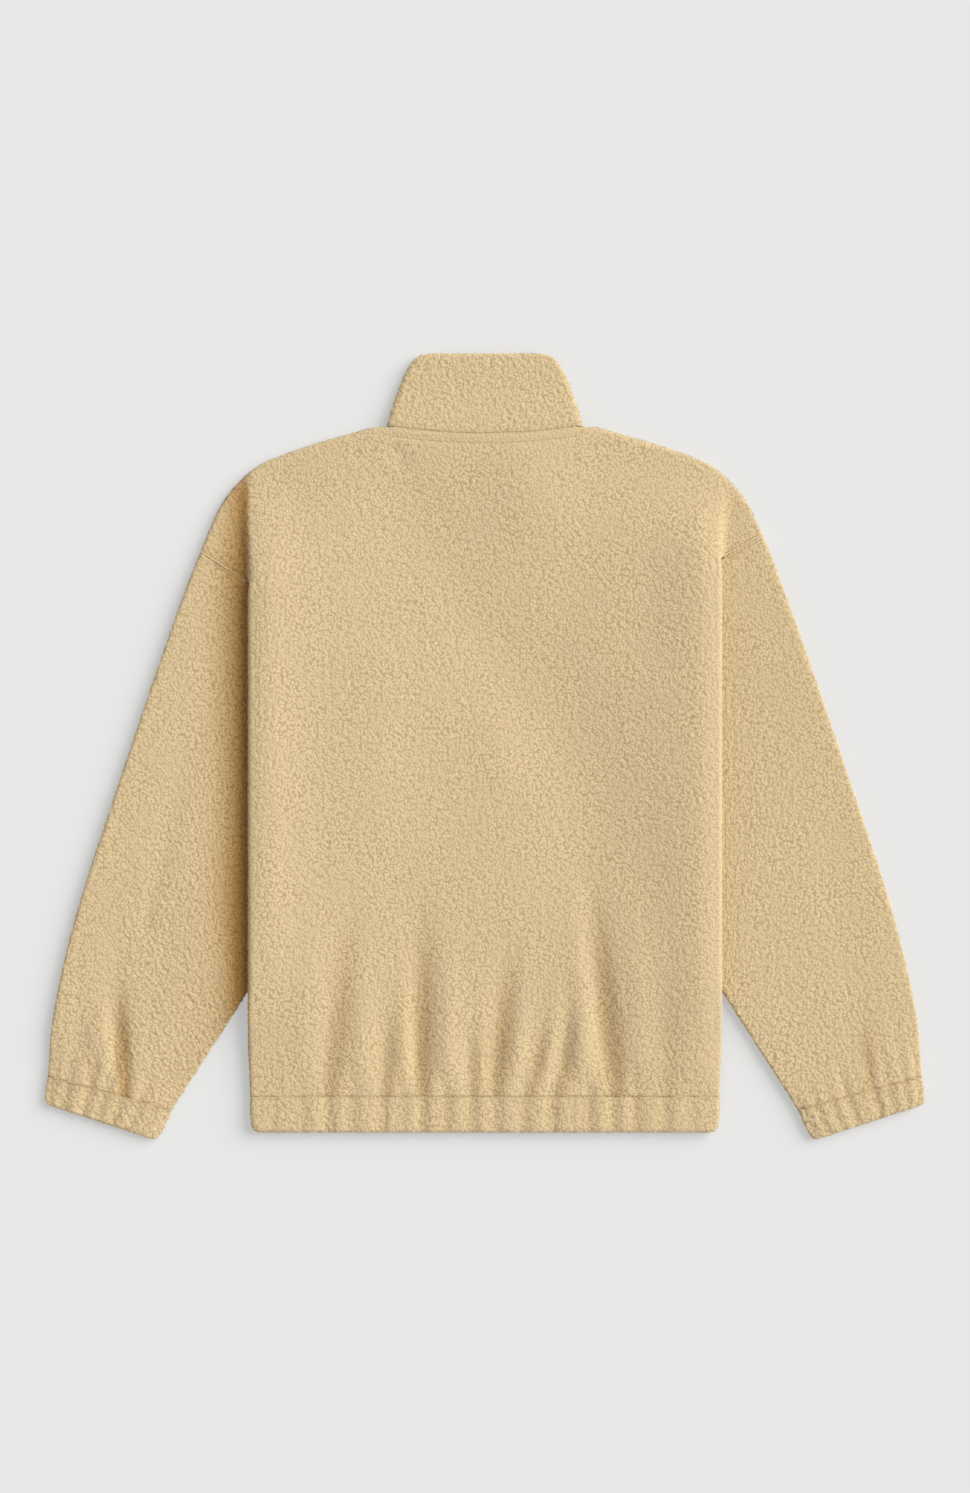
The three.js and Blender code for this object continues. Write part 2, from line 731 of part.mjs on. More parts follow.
function buildCollar() {
  const ring = ({ y, half }, index, inset) => {
    const share = index / (collarRings.length - 1);
    const flat = 1 - smoothstep(share, 0, 0.7);
    const rise = (x) => (neckLine(x * (neckHalf / half)) - neckY) * flat;
    return openRing({
      half,
      radius: collarRadius,
      top: (x) => collarTop(x, share) - (share === 1 ? edgeDrop : 0),
      upper: 16,
      lower: frontNeckShares,
      upperY: (x) => y + rise(x),
      lowerY: (x, s) => (index === 0
        ? frontNeck(s)[1]
        : y + rise(x) - frontNeckDrop * (1 - s ** 2)),
      inset,
    });
  };
  return gridSolid(
    collarRings.map((row, i) => ring(row, i, 0)),
    collarRings.map((row, i) => ring(row, i, wall)),
    false,
  );
}

// The garment

const garment = new THREE.Group();
addPiece(garment, 'back', buildBack());
for (const side of sides) {
  addPiece(garment, `front_${side.name}`, buildFront(side));
  addPiece(garment, `sleeve_${side.name}`, buildSleeve(side));
  addPiece(garment, `cuff_${side.name}`, buildCuff(side));
}
addPiece(garment, 'hem_band', buildHemBand());
addPiece(garment, 'collar', buildCollar());

export default garment;
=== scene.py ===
# Pile fleece jacket with a stand collar, lying face down on a pale surface.
# Lengths are in millimetres until a point is stored; x runs across, y up the back, z up.

import math
from functools import lru_cache

import bmesh
import bpy
from mathutils import Matrix, Vector
from mathutils.geometry import interpolate_bezier


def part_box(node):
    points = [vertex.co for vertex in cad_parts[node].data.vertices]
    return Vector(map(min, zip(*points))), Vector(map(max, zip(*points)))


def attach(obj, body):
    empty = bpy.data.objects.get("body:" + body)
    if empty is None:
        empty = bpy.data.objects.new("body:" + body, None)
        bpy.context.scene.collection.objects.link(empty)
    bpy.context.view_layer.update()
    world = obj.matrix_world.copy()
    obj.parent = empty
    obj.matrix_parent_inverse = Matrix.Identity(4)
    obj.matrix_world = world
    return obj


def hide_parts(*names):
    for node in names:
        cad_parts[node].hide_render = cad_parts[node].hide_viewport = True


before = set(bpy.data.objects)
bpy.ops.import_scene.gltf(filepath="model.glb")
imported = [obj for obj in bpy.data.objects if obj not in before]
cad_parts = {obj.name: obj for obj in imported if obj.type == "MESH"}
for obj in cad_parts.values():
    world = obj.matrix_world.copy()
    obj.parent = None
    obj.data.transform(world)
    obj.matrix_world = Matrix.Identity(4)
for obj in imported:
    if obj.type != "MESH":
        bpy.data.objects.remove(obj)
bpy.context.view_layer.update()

mm = 0.001
scene = bpy.context.scene


def boxOf(node):
    low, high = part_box(node)
    return [v / mm for v in low], [v / mm for v in high]


# sizes shared by all the pieces

jacket = {
    "wall": 4.0,  # one layer of cloth, pile and all
    "gap": 0.3,  # between layers
    "seam": 0.06,  # between pieces at a seam
    "hemDraw": 1.8,  # how far the body draws in from its side folds to the hem
    "curl": 4.45,  # outer radius where two layers turn into each other
    "tuck": 16.4,  # cloth turned in under a side fold
    "seamOut": 2.6,  # where the armhole seam goes under that fold, out from the fold's edge
    "lapTop": 8.4,  # two layers with nothing between
    "bodyTop": 12.8,  # height of the back away from its folds
    "shoulderSide": 1.6,  # how far the back stays above the sleeve at the shoulder
    "shoulderRoll": 6.5,
    "rim": 1.8,  # what rounding off leaves of the thickness of a band's edge
    "fullness": 0.55,  # of a turned edge: 1 is round, and less is fuller
    "hemSeamY": boxOf("back")[0][1] - 0.15,
    "hemEdgeY": boxOf("hem_band")[0][1],
    "underarmY": -212.0,
    "neckHalf": boxOf("collar")[1][0],
    "neckY": 302.6,
    "neckRise": 7.8,
    "collarTopY": boxOf("collar")[1][1],
    "hemMiddle": 13.4,  # height of the hem band across the back
    "hemSide": 12.4,  # and at its side folds
    "frontNeckDrop": 60.0,
}
wall = jacket["wall"]
gap = jacket["gap"]
seam = jacket["seam"]
foldX = boxOf("hem_band")[1][0] + jacket["hemDraw"]  # centre to the side folds
curl = jacket["curl"]
lapTop = jacket["lapTop"]
innerX = foldX - jacket["tuck"]
neckHalf = jacket["neckHalf"]
underarmY = jacket["underarmY"]
hemSeamY = jacket["hemSeamY"]
hemEdgeY = jacket["hemEdgeY"]

outlineRows = [  # height, half width
    (309.6, 104), (302.6, 132.4), (285.2, 188.7), (273.5, 216.8), (261.9, 232.8),
    (238.6, 252.7), (203.7, 269.7), (157.1, 288.1), (64, 321.1), (-52.4, 360.4),
    (-145.5, 390.9), (-215.3, 409.3), (-273.5, 420), (-319, 423.4),
]

# The armhole seam runs from seamTop, on the contour, to seamFold, where it goes under the side fold,
# whose outer radius is curl. The sleeve rises over the distance crown, and by the share lower of that
# from the elbow down. The ridge is a swell of the back beside the fold, with its inner and outer width.
# The shades are painted shade beside the fold, strong on the left where the fold shades the sleeve from
# the light at the right, and on the sleeve's lower part.
sides = {
    "left": {
        "sign": -1, "seamTop": 188.0, "seamFold": 159.0, "curl": 6.0, "crown": 60.0, "lower": 1.0,
        "ridge": {"from": (-230, -140), "height": 1.2, "in": 22, "width": (16, 16)},
        "shade": 0.9, "lowerShade": 0.2,
    },
    "right": {
        "sign": 1, "seamTop": 204.7, "seamFold": 182.4, "curl": 5.4, "crown": 130.0, "lower": 0.1,
        "ridge": {"from": (-345, -305), "height": 2.3, "in": 25, "width": (48, 15)},
        "shade": 0.06, "lowerShade": 0.0,
    },
}

cuffEnds = {  # corners of the right cuff, mirrored for the left
    "seamOut": (423.4, -319.0),
    "seamIn": (302.2, -351.1),
    "edgeOut": (428.3, -345.5),
    "edgeIn": (315.5, -382.4),
}


# small helpers


def mix(a, b, t):
    return a + (b - a) * t


def smooth(value, low, high):
    t = min(max((value - low) / (high - low), 0.0), 1.0)
    return t * t * (3 - 2 * t)


def bell(distance, width):
    return math.exp(-((distance / width) ** 2))


def onRows(rows, value):
    # second column of a table at a value of its first, which falls down the table
    for (y0, h0), (y1, h1) in zip(rows, rows[1:]):
        if value >= y1:
            break
    return mix(h0, h1, (value - y0) / (y1 - y0))


def smoothLine(points, count=600):
    # even points on a smooth curve through the given ones
    knots = [Vector(p) for p in points]
    runs = [(b - a).length for a, b in zip(knots, knots[1:])]
    slopes = [(b - a) / run for a, b, run in zip(knots, knots[1:], runs)]
    aims = [slopes[0]]
    for i in range(1, len(slopes)):
        aims.append((slopes[i - 1] * runs[i] + slopes[i] * runs[i - 1]) / (runs[i - 1] + runs[i]))
    aims.append(slopes[-1])
    dense = []
    for i, run in enumerate(runs):
        start, end = knots[i], knots[i + 1]
        arms = start + aims[i] * run / 3, end - aims[i + 1] * run / 3
        dense += interpolate_bezier(start, *arms, end, 24)[:-1]
    return evenLine([*dense, knots[-1]], count)


def evenLine(points, count):
    sums = [0.0]
    for a, b in zip(points, points[1:]):
        sums.append(sums[-1] + (b - a).length)
    line, i = [], 0
    for k in range(count + 1):
        want = sums[-1] * k / count
        while i < len(points) - 2 and sums[i + 1] < want:
            i += 1
        line.append(points[i].lerp(points[i + 1], (want - sums[i]) / (sums[i + 1] - sums[i])))
    return {"points": line, "length": sums[-1]}


def pick(line, t):
    points = line["points"]
    at = min(max(t, 0.0), 1.0) * (len(points) - 1)
    i = min(int(at), len(points) - 2)
    return points[i].lerp(points[i + 1], at - i)


def heading(line, t):
    return (pick(line, t + 0.004) - pick(line, t - 0.004)).normalized()


def flip(point, sign):
    # the same place on the left or right
    return Vector((sign * point[0], *point[1:]))


def contour(sign, fromY, toY):
    rows = [y for y, half in outlineRows if (y - fromY) * (y - toY) < 0]
    if fromY < toY:
        rows.reverse()
    return [Vector((sign * onRows(outlineRows, y), y)) for y in [fromY, *rows, toY]]


def spread(u, runs):
    # even cells to a place along runs of (cells, from, to); gives the run and the place
    cells = u * sum(run[0] for run in runs)
    for index, (count, start, end) in enumerate(runs):
        if cells <= count + 1e-6 or index == len(runs) - 1:
            break
        cells -= count
    return index, mix(start, end, min(cells / count, 1.0))


def fullTurn(angle):
    # a turned edge, fuller than round above: share across and share up, for an angle from the top
    across, up = math.sin(angle), math.cos(angle)
    if up > 0:
        return abs(across) ** jacket["fullness"], up ** jacket["fullness"]
    return across, up


# folds that neighbouring pieces share

# Creases: foot, top, width and depth. A depth below zero is a ridge.

backCreases = [  # up from the hem seam
    (-153.5, (-130.1, -130), 14, 3.0),
    (-97.6, (-94.7, -232), 10, 2.6),
    (-65.7, (-61.8, -140), 12, 3.8),
    (-15.2, (-14.2, -258), 8, 2.2),
    (6.6, (22.1, -183), 11, 3.4),
    (40.6, (59, -250), 9, 2.6),
    (69.2, (89.6, -216), 10, 2.8),
    (124, (97.8, -106), 13, 4.2),
    (174, (184.6, -145), 15, 1.5),
    (-212.5, (-203.5, -200), 15, 1.6),
    (-38.5, (-33.5, -175), 11, -2.2),
    (-122.5, (-115.5, -170), 11, -1.8),
    (-77.5, (-75.5, -200), 7, -1.2),
    (-178, (-166, -140), 13, -2.4),
    (26.5, (41.5, -190), 7, -1.2),
    (57, (75, -190), 6, -1),
    (95.5, (86.5, -120), 11, -2.2),
    (152, (144, -120), 12, -2),
]

backSwells = [  # broad swells of the back: a line, its radius and its height, below zero in a hollow
    ([(-88, 250), (-3, 115)], 38, -1.8),
    ([(40, 60), (96, -20), (134, -125)], 54, -3.2),
    ([(-185, 165), (-185, 110)], 36, 1.3),
    ([(-100, 70), (-104, -70)], 36, 2.0),
    ([(36, 262), (48, 236)], 40, 3.0),
    ([(172, 170), (172, 110)], 32, -0.9),
    ([(172, 50), (172, -20)], 30, 1.3),
    ([(-196, 20), (-196, -20)], 32, -1.5),
    ([(8, 20), (20, -30)], 20, 1.0),
    ([(-88, 286), (-82, 278)], 9, -1.2),
]

hemGathers = [  # place across the hem, depth
    (-217.5, 0.6), (-205.5, 1.3), (-190.5, 0.5), (-177.5, 1.3), (-152.5, 2.1), (-129.5, 1.4), (-100, 1.9),
    (-80.5, 1.0), (-61.2, 2.2), (-38.9, 1.6), (-13.7, 1.9), (9.6, 1.8), (36.8, 1.7), (64.9, 2.1),
    (85.5, 0.7), (99.8, 2.0), (124.1, 2.3), (144.4, 2.3), (158.5, 0.6), (173.5, 1.8), (199.5, 1.0),
]

sleeveCreases = {  # up from the cuff seam; x is measured outwards from the centre
    "left": [
        ((351, -338), (358, -226), 8, 3.6),
        ((356, -338), (354, -130), 13, 1.1),
        ((382, -331), (396, -248), 8, 2.0),
        ((325, -345), (328, -308), 7, 1.3),
        ((320, -222), (316, -118), 20, 0.3),
        ((404, -324), (406, -270), 7, 0.8),
        ((368, -335), (372, -250), 8, -1.2),
        ((300, -60), (262, 90), 18, 0.9),
    ],
    "right": [
        ((369, -332), (360, -250), 9, 2.3),
        ((346, -339), (347, -305), 7, 1.3),
        ((402, -324), (398, -262), 8, 1.0),
        ((318, -345), (312, -290), 7, 1.1),
        ((355, -180), (330, -20), 20, 0.9),
        ((388, -328), (386, -285), 8, -0.7),
    ],
}

cuffGathers = {  # share of the width from the outer end, depth
    "left": [(0.06, 0.8), (0.14, 1.9), (0.33, 2.0), (0.46, 1.8), (0.6, 1.9), (0.76, 1.4), (0.9, 1.2)],
    "right": [(0.12, 1.3), (0.26, 1.4), (0.39, 2.1), (0.5, 1.0), (0.61, 2.0), (0.75, 1.3), (0.88, 1.5)],
}

creaseForm = {  # shares of a crease's length, from its foot
    "start": -0.8,
    "fade": 0.25,
    "end": 1.15,
    "widths": (0.8, 1.3),  # at the foot and the top
}


def creaseDepth(x, y, foot, top, width, depth):
    t = (y - foot[1]) / (top[1] - foot[1])
    if not creaseForm["start"] < t < creaseForm["end"]:
        return 0.0
    fade = 1 - smooth(t, creaseForm["fade"], creaseForm["end"])
    return depth * bell(x - mix(foot[0], top[0], t), width * mix(*creaseForm["widths"], t)) * fade


def hemWaves(x):
    width, reach = hemBand["gather"], hemBand["gatherReach"]
    return sum(depth * bell(x - at, width) for at, depth in hemGathers if abs(x - at) < reach)


def hemTop(x):
    middle = jacket["hemMiddle"] - hemWaves(x)
    return mix(middle, jacket["hemSide"], smooth(abs(x), 200, foldX - curl))


def sideBottom(y):
    # underside of the cloth tucked in at a side fold: on the sleeve, then on the surface
    return (lapTop + gap) * smooth(y, -300, -241)


def foldRadius(y, side):
    # the fold's top comes down evenly from the sleeve to the hem
    high = mix(jacket["hemSide"], lapTop + gap + 2 * side["curl"], smooth(y, hemSeamY, underarmY))
    return (high - sideBottom(y)) / 2


def foldEdge(y):
    # the body draws in a little towards the hem
    return foldX - jacket["hemDraw"] * smooth(-y, 280, -hemSeamY)


def sideTop(y, side):
    folded = sideBottom(y) + 2 * foldRadius(y, side)
    return mix(folded, lapTop + jacket["shoulderSide"], smooth(y, side["seamFold"] - 14, 262))


def innerEdgeDistance(out, y):
    # plan distance from the free inner edge of a sleeve
    way = Vector((cuffEnds["seamIn"][0] - innerX, cuffEnds["seamIn"][1] - underarmY)).normalized()
    return (out - innerX) * -way.y + (y - underarmY) * way.x


def sleeveTop(out, y, side, creases):
    # upper face of the cloth outside the side folds
    clear = min(out - foldX - 1, innerEdgeDistance(out, y) - curl)
    low = smooth(clear, 0, 14)
    folds = sum(creaseDepth(out, y, *crease) for crease in creases) if low else 0.0
    lower = mix(1, side["lower"], smooth(-y, -90, 130))
    crown = sleeve["crown"] * smooth(clear, 0, side["crown"]) * lower
    return max(lapTop + crown - folds * low, lapTop + 0.05 * low)


def creased(x, y):
    # how far the creases above the hem sink the back
    if y > -60:  # above them all
        return 0.0
    return sum(creaseDepth(x, y, (footX, hemSeamY), *crease) for footX, *crease in backCreases)


def fromLine(at, points):
    # distance from a run of straight pieces
    nearest = 1e9
    for a, b in zip(points, points[1:]):
        start, way = Vector(a), Vector(b) - Vector(a)
        t = min(max((at - start).dot(way) / way.length_squared, 0.0), 1.0)
        nearest = min(nearest, (at - start - way * t).length)
    return nearest


def swollen(x, y):
    # how far the broad swells raise it
    at = Vector((x, y))
    return sum(height * bell(fromLine(at, line), radius) for line, radius, height in backSwells)


def backTop(x, y):
    out = abs(x)
    side = sides["left" if x < 0 else "right"]
    middle = jacket["bodyTop"] - creased(x, y) + swollen(x, y)
    if y < -300:
        middle = mix(hemTop(x), middle, smooth(y, hemSeamY, -300))
    middle = max(middle, lapTop + 0.2)
    if out > 70:
        # towards the fold it comes to the fold's height in two easy steps, with the ridge on top
        near = 0.45 * smooth(out, 70, 170) + 0.55 * smooth(out, 150, foldX - 7)
        middle = mix(middle, sideTop(y, side), near)
        ridge = side["ridge"]
        along = smooth(y, *ridge["from"]) * (1 - smooth(y, 210, 270))
        ease = 1 - smooth(out, foldX - 12, foldX - 3)
        past = out - foldX + ridge["in"]
        middle += ridge["height"] * bell(past, ridge["width"][past > 0]) * along * ease
    if out > foldX - 4:
        # the flank of the fold, steep at the seam and easing off towards the shoulder
        foot = mix(foldX + 2, foldX + 10, smooth(y, side["seamFold"], side["seamFold"] + 70))
        middle = mix(middle, sleeveTop(out, y, side, []), smooth(out, foldX - 4, foot))
    return middle


def backUnder(x, y):
    # underside of the back, kept below its face where that falls away
    top = backTop(x, y)
    if abs(x) > foldX - 18:
        top = min(top, backTop(x + math.copysign(6, x), y))
    return top - wall


def neckLine(x):
    return jacket["neckY"] + jacket["neckRise"] * min(1.0, (x / neckHalf) ** 2)


def frontNeck(share):
    # front neckline from the centre to the side
    x = mix(gap / 2, neckHalf - collar["radius"], share)
    return Vector((x, neckLine(x) - jacket["frontNeckDrop"] * (1 - share**2)))


@lru_cache(maxsize=None)
def armhole(name):
    # from the contour down the visible seam, round under the side fold, to the underarm
    top, fold = sides[name]["seamTop"], sides[name]["seamFold"]
    plan = [
        (onRows(outlineRows, top), top),
        (foldX + jacket["seamOut"], fold + 1),
        (foldX + 2, fold - 13),
        (foldX - 5, fold - 24),
        (foldX - 13, fold - 38),
        (innerX, fold - 58),
        (innerX, underarmY + 17),
        (innerX, underarmY),
    ]
    return [Vector(p) for p in plan]


def bent(points, t):
    # place at a share of the length of a run of straight pieces
    runs = [(b - a).length for a, b in zip(points, points[1:])]
    left = t * sum(runs)
    for i, run in enumerate(runs):
        if left <= run or i == len(runs) - 1:
            break
        left -= run
    return points[i].lerp(points[i + 1], left / run)


# cloth: a closed wall whose outer face is cut fine enough for the pile

pile = {
    "clump": 2.8,  # size of a curl
    "wander": ((5.6, 1.5), (2.0, 0.5)),  # how the curls bend: size of the bends, and how far
    "tuft": 1.5,  # curls to a tuft, which is what the cloth's face is raised in
    "height": 0.75,
    "sink": 0.62,  # so that the tips stand where the cloth's face is
    "lengths": (0.8, 1.25),  # of the pile on open cloth, and down in a fold
    "shadeReach": (29.0, 21.0),  # how far out from a side fold the painted shade reaches: halfway, and at its ends
    "open": 0.1,  # how much the shade colour darkens open cloth, evenly; painted shade adds to it
    "rounded": 0.92,  # most that a rounded edge counts as one
    "edgeLength": 1.6,  # the pile stands longer there
}


def addNode(tree, kind, inputs, **setup):
    # each input is a fixed value, or the output that feeds it
    node = tree.nodes.new(kind)
    for key, value in setup.items():
        setattr(node, key, value)
    for key, value in inputs.items():
        if isinstance(value, bpy.types.NodeSocket):
            tree.links.new(value, node.inputs[key])
        else:
            node.inputs[key].default_value = value
    return node


def addClumps(tree, place, scale=1.0):
    # 0 between the curls of the pile to 1 on their tips
    for size, reach in pile["wander"]:
        wander = addNode(tree, "ShaderNodeTexNoise", {
            "Vector": place, "Scale": 1 / (size * scale * mm), "Detail": 0.5,
        }, noise_dimensions="2D")
        centred = addNode(tree, "ShaderNodeVectorMath", {
            0: wander.outputs["Color"], 1: (0.5, 0.5, 0.5),
        }, operation="SUBTRACT")
        moved = addNode(tree, "ShaderNodeVectorMath", {
            0: centred.outputs["Vector"], 1: (2 * reach * scale * mm,) * 3, 2: place,
        }, operation="MULTIPLY_ADD")
        place = moved.outputs["Vector"]
    cells = addNode(tree, "ShaderNodeTexVoronoi", {
        "Vector": place, "Scale": 1 / (pile["clump"] * scale * mm), "Smoothness": 0.35,
    }, voronoi_dimensions="2D", feature="SMOOTH_F1")
    dome = addNode(tree, "ShaderNodeMapRange", {
        "Value": cells.outputs["Distance"], "From Min": 0.72, "From Max": 0.05,
    }, interpolation_type="SMOOTHSTEP")
    return dome.outputs["Result"]


def makeRelief():
    tree = bpy.data.node_groups.new("pileRelief", "GeometryNodeTree")
    for way in ("INPUT", "OUTPUT"):
        tree.interface.new_socket("Geometry", in_out=way, socket_type="NodeSocketGeometry")
    entry = addNode(tree, "NodeGroupInput", {})
    read = "GeometryNodeInputNamedAttribute"
    place = addNode(tree, read, {"Name": "pilePlace"}, data_type="FLOAT_VECTOR")
    length = addNode(tree, read, {"Name": "pileLength"}, data_type="FLOAT")
    rise = addNode(tree, "ShaderNodeMapRange", {
        "Value": addClumps(tree, place.outputs["Attribute"], pile["tuft"]),
        "To Min": -pile["sink"] * mm,
        "To Max": (pile["height"] - pile["sink"]) * mm,
    })
    scaled = addNode(tree, "ShaderNodeMath", {
        0: rise.outputs["Result"], 1: length.outputs["Attribute"],
    }, operation="MULTIPLY")
    facing = addNode(tree, "GeometryNodeInputNormal", {})
    offset = addNode(tree, "ShaderNodeVectorMath", {
        "Vector": facing.outputs["Normal"], "Scale": scaled.outputs["Value"],
    }, operation="SCALE")
    move = addNode(tree, "GeometryNodeSetPosition", {
        "Geometry": entry.outputs["Geometry"], "Offset": offset.outputs["Vector"],
    })
    addNode(tree, "NodeGroupOutput", {"Geometry": move.outputs["Geometry"]})
    return tree


pileRelief = makeRelief()


def raisePile(piece):
    modifier = piece.modifiers.new("pile", "NODES")
    modifier.node_group = pileRelief
    graph = bpy.context.evaluated_depsgraph_get()
    raised = bpy.data.meshes.new_from_object(
        piece.evaluated_get(graph), preserve_all_data_layers=True, depsgraph=graph
    )
    piece.modifiers.clear()
    piece.data = raised


def openEdge(at, normal):
    # up to 1 on the jacket's own rounded edges, 0 where the body folds down onto a sleeve
    onFold = smooth(at.y, -252, -238) * (1 - smooth(at.y, 222, 246)) * bell(abs(at.x) - foldX, 12)
    return pile["rounded"] * smooth(0.95 - normal.z, 0.0, 0.35) * (1 - onFold)


def makePiece(name, mesh, places, shares):
    # the cloth's finish follows what is stored on its points
    data = bpy.data.meshes.new(name)
    mesh.to_mesh(data)
    mesh.free()
    data.attributes.new("pilePlace", "FLOAT_VECTOR", "POINT").data.foreach_set("vector", places)
    for key, values in shares.items():
        data.attributes.new(key, "FLOAT", "POINT").data.foreach_set("value", values)
    data.shade_smooth()
    data.materials.append(fleeceFinish)
    piece = bpy.data.objects.new(name, data)
    scene.collection.objects.link(piece)
    return piece


def clothSlab(name, cells, cuts, place, fine=(0.0, 1.0)):
    # place(u, v, inside) gives the point, its spot on the cloth, and the pile's length and depth, which is
    # also its painted shade
    mesh = bmesh.new()
    bmesh.ops.create_grid(mesh, x_segments=cells[0], y_segments=cells[1], size=0.5)
    lifted = bmesh.ops.extrude_face_region(mesh, geom=mesh.faces[:], use_keep_orig=True)
    outer = [g for g in lifted["geom"] if isinstance(g, bmesh.types.BMVert)]
    bmesh.ops.translate(mesh, verts=outer, vec=(0, 0, 1))
    low, high = fine[0] - 0.5001, fine[1] - 0.4999
    shown = [e for e in mesh.edges if all(v.co.z > 0.5 and low < v.co.x < high for v in e.verts)]
    bmesh.ops.subdivide_edges(mesh, edges=shown, cuts=cuts, use_grid_fill=True)
    places, lengths, shadeDepths = [], [], []
    for vert in mesh.verts:
        inside = vert.co.z < 0.5
        point, spot, length, depth = place(vert.co.x + 0.5, vert.co.y + 0.5, inside)
        vert.co = Vector(point) * mm
        places += (spot[0] * mm, spot[1] * mm, 0.0)
        shadeDepths.append(depth)
        lengths.append(0.0 if inside else length * mix(*pile["lengths"], depth))
    bmesh.ops.recalc_face_normals(mesh, faces=mesh.faces[:])
    if mesh.calc_volume(signed=True) < 0:
        bmesh.ops.reverse_faces(mesh, faces=mesh.faces[:])
    mesh.normal_update()
    edges = [min(length, 1) * openEdge(v.co / mm, v.normal) for v, length in zip(mesh.verts, lengths)]
    lengths = [length * mix(1, pile["edgeLength"], edge) for length, edge in zip(lengths, edges)]
    shares = {"pileLength": lengths, "pileShadeDepth": shadeDepths, "pileEdge": edges}
    piece = makePiece(name, mesh, places, shares)
    raisePile(piece)
    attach(piece, "root")
    print(name, len(places) // 3, "points")
    return piece


def roundedCloth(name, runs, rows, cuts, place):
    # a tube or band, whose first and last runs lie underneath and stay plain
    total = sum(run[0] for run in runs)
    fine = (runs[0][0] / total, 1 - runs[-1][0] / total)
    return clothSlab(name, (total, rows), cuts, place, fine)


# pile depth, which is also painted shade: low on open cloth, where the pile lies brushed, up to 1 down in
# a fold, where it stands in curls; the fleece is painted darker with it in folds, on crease walls turned
# from the light and along seams


def foldPaintedShade(x, y):
    # painted shade beside a side fold, strong on the left, where the fold shades the sleeve from the light
    # at the right
    side = sides["left" if x < 0 else "right"]
    past = max(abs(x) - foldX, 0.0)
    halfway, ends = pile["shadeReach"]
    reach = mix(mix(halfway, ends, smooth(y, 150, 250)), ends, smooth(-y, 110, 230))
    shade = side["shade"] * (bell(past, reach) * (1 - smooth(y, 240, 285)))
    return pile["open"] + shade + side["lowerShade"] * bell(past, 62) * smooth(-y, 60, 210)


def backPaintedShade(point):
    out = abs(point.x)
    beside = foldPaintedShade(point.x, point.y) * smooth(out, foldX - 4, foldX + 2)
    shaded = point.x - 4.5  # the wall of a crease that is turned from the light
    # painted shade in the creases, centred on the wall turned from the light, and along the hem seam
    paintedShade = 0.34 * smooth(creased(shaded, point.y), 0.0, 3.8)
    sewn = 0.1 * bell(point.y - hemSeamY, 2)
    return min(max(pile["open"] + paintedShade * (1 - smooth(out, 165, foldX - 8)) + sewn, beside), 1.0)


# seams: the pile is caught down along them, and the cloth dips

armSeam = {
    "offset": 2.8,  # from the seam to the stitches on both sides
    "pitch": 2.9,
    "length": 2.5,
    "radius": 0.42,
    "sink": 0.4,  # of the thread's middle below the cloth's face
    "depth": 0.9,  # painted shade on the stitches, as deep in the pile as they lie
    "endLift": 0.14,
}
# the neck stitches' depth is painted shade too
neckSeam = {"pitch": 3.0, "length": 2.6, "radius": 0.4, "sink": 0.85, "depth": 0.9}
shoulderSeam = {"in": 2.2, "up": 1.1}  # from the contour, and from halfway between the layers

caught = {  # the pile's length and the cloth's dip at a seam, and how far out they ease off
    "length": 0.6,
    "lengthReach": 3.5,
    "dip": 0.2,
    "dipReach": 2.2,
    "stitchDip": 0.5,
    "stitchReach": 1.5,
}


def seamPile(distance):
    # the pile is caught down along a seam
    return mix(caught["length"], 1.0, smooth(distance, 0.0, caught["lengthReach"]))


def seamDip(distance):
    return caught["dip"] * bell(distance, caught["dipReach"])


def sewnDip(distance):
    # along the two rows of stitches beside a seam
    return caught["stitchDip"] * bell(distance - armSeam["offset"], caught["stitchReach"])


def sewnPile(distance):
    return smooth(distance, 0.4, armSeam["offset"] + 3.0)


def onTop(point):
    # 0 on a piece's lower layer, which lies flat, to 1 on its upper one
    return smooth(point.z, 5, 8)


def easeSeam(point, distance, inside):
    # dips the cloth beside a seam, and gives the pile's length there: none underneath
    if inside:
        return 0.0
    length = seamPile(distance) * smooth(point.z, 1.0, 3.0)
    point.z -= seamDip(distance) * onTop(point)
    return length


def rimInset(distance, inside):
    # depth of a face in the wall at a distance from a turned edge, which is rounded off
    half = wall / 2
    q = 1 - min(distance / half, 1.0)
    bite = min(half * (1 - math.sqrt(1 - q * q)), half - jacket["rim"] / 2)
    return wall - bite if inside else bite


farOff = 99.0  # anywhere that a seam isn't near


def armGap(point):
    # plan distance from the visible part of the armhole seam
    name = "left" if point.x < 0 else "right"
    start, end = armhole(name)[:2]
    if point.y < end.y - 30 or point.y > start.y + 30:
        return farOff
    at = Vector((abs(point.x), point.y))
    way = end - start
    t = min(max((at - start).dot(way) / way.length_squared, 0.0), 1.2)
    return (at - start - way * t).length


# back: one panel, rolled down along the shoulders and tucked under at the side folds

back = {
    "sideMargin": 12.0,  # along the seam's outer end
    "lap": 1.5,  # over the sleeve, just above the side fold
    "curlSteps": 5.0,  # round a side fold, before one step of flat cloth
    "sideCells": 2,
    "bodyCells": 42,
    "rollCells": 1,
    "rows": 56,
    "neckStitch": 9.0,  # from the neck seam
    "neckDip": 0.8,  # along those stitches
    "neckPile": 0.3,  # length of the pile between them and the seam
}


@lru_cache(maxsize=None)
def backContour():
    top = outlineRows[0][0]
    neck = [Vector((x, neckLine(x) - seam)) for x in (-84, -56, -28, 0, 28, 56, 84)]
    right = contour(1, sides["right"]["seamTop"], top)[::-1]
    return smoothLine([*contour(-1, sides["left"]["seamTop"], top), *neck, *right], 1200)


@lru_cache(maxsize=None)
def seamWay(name):
    start, end = armhole(name)[:2]
    way = (end - start).normalized()
    return Vector((sides[name]["sign"] * way.x, way.y))


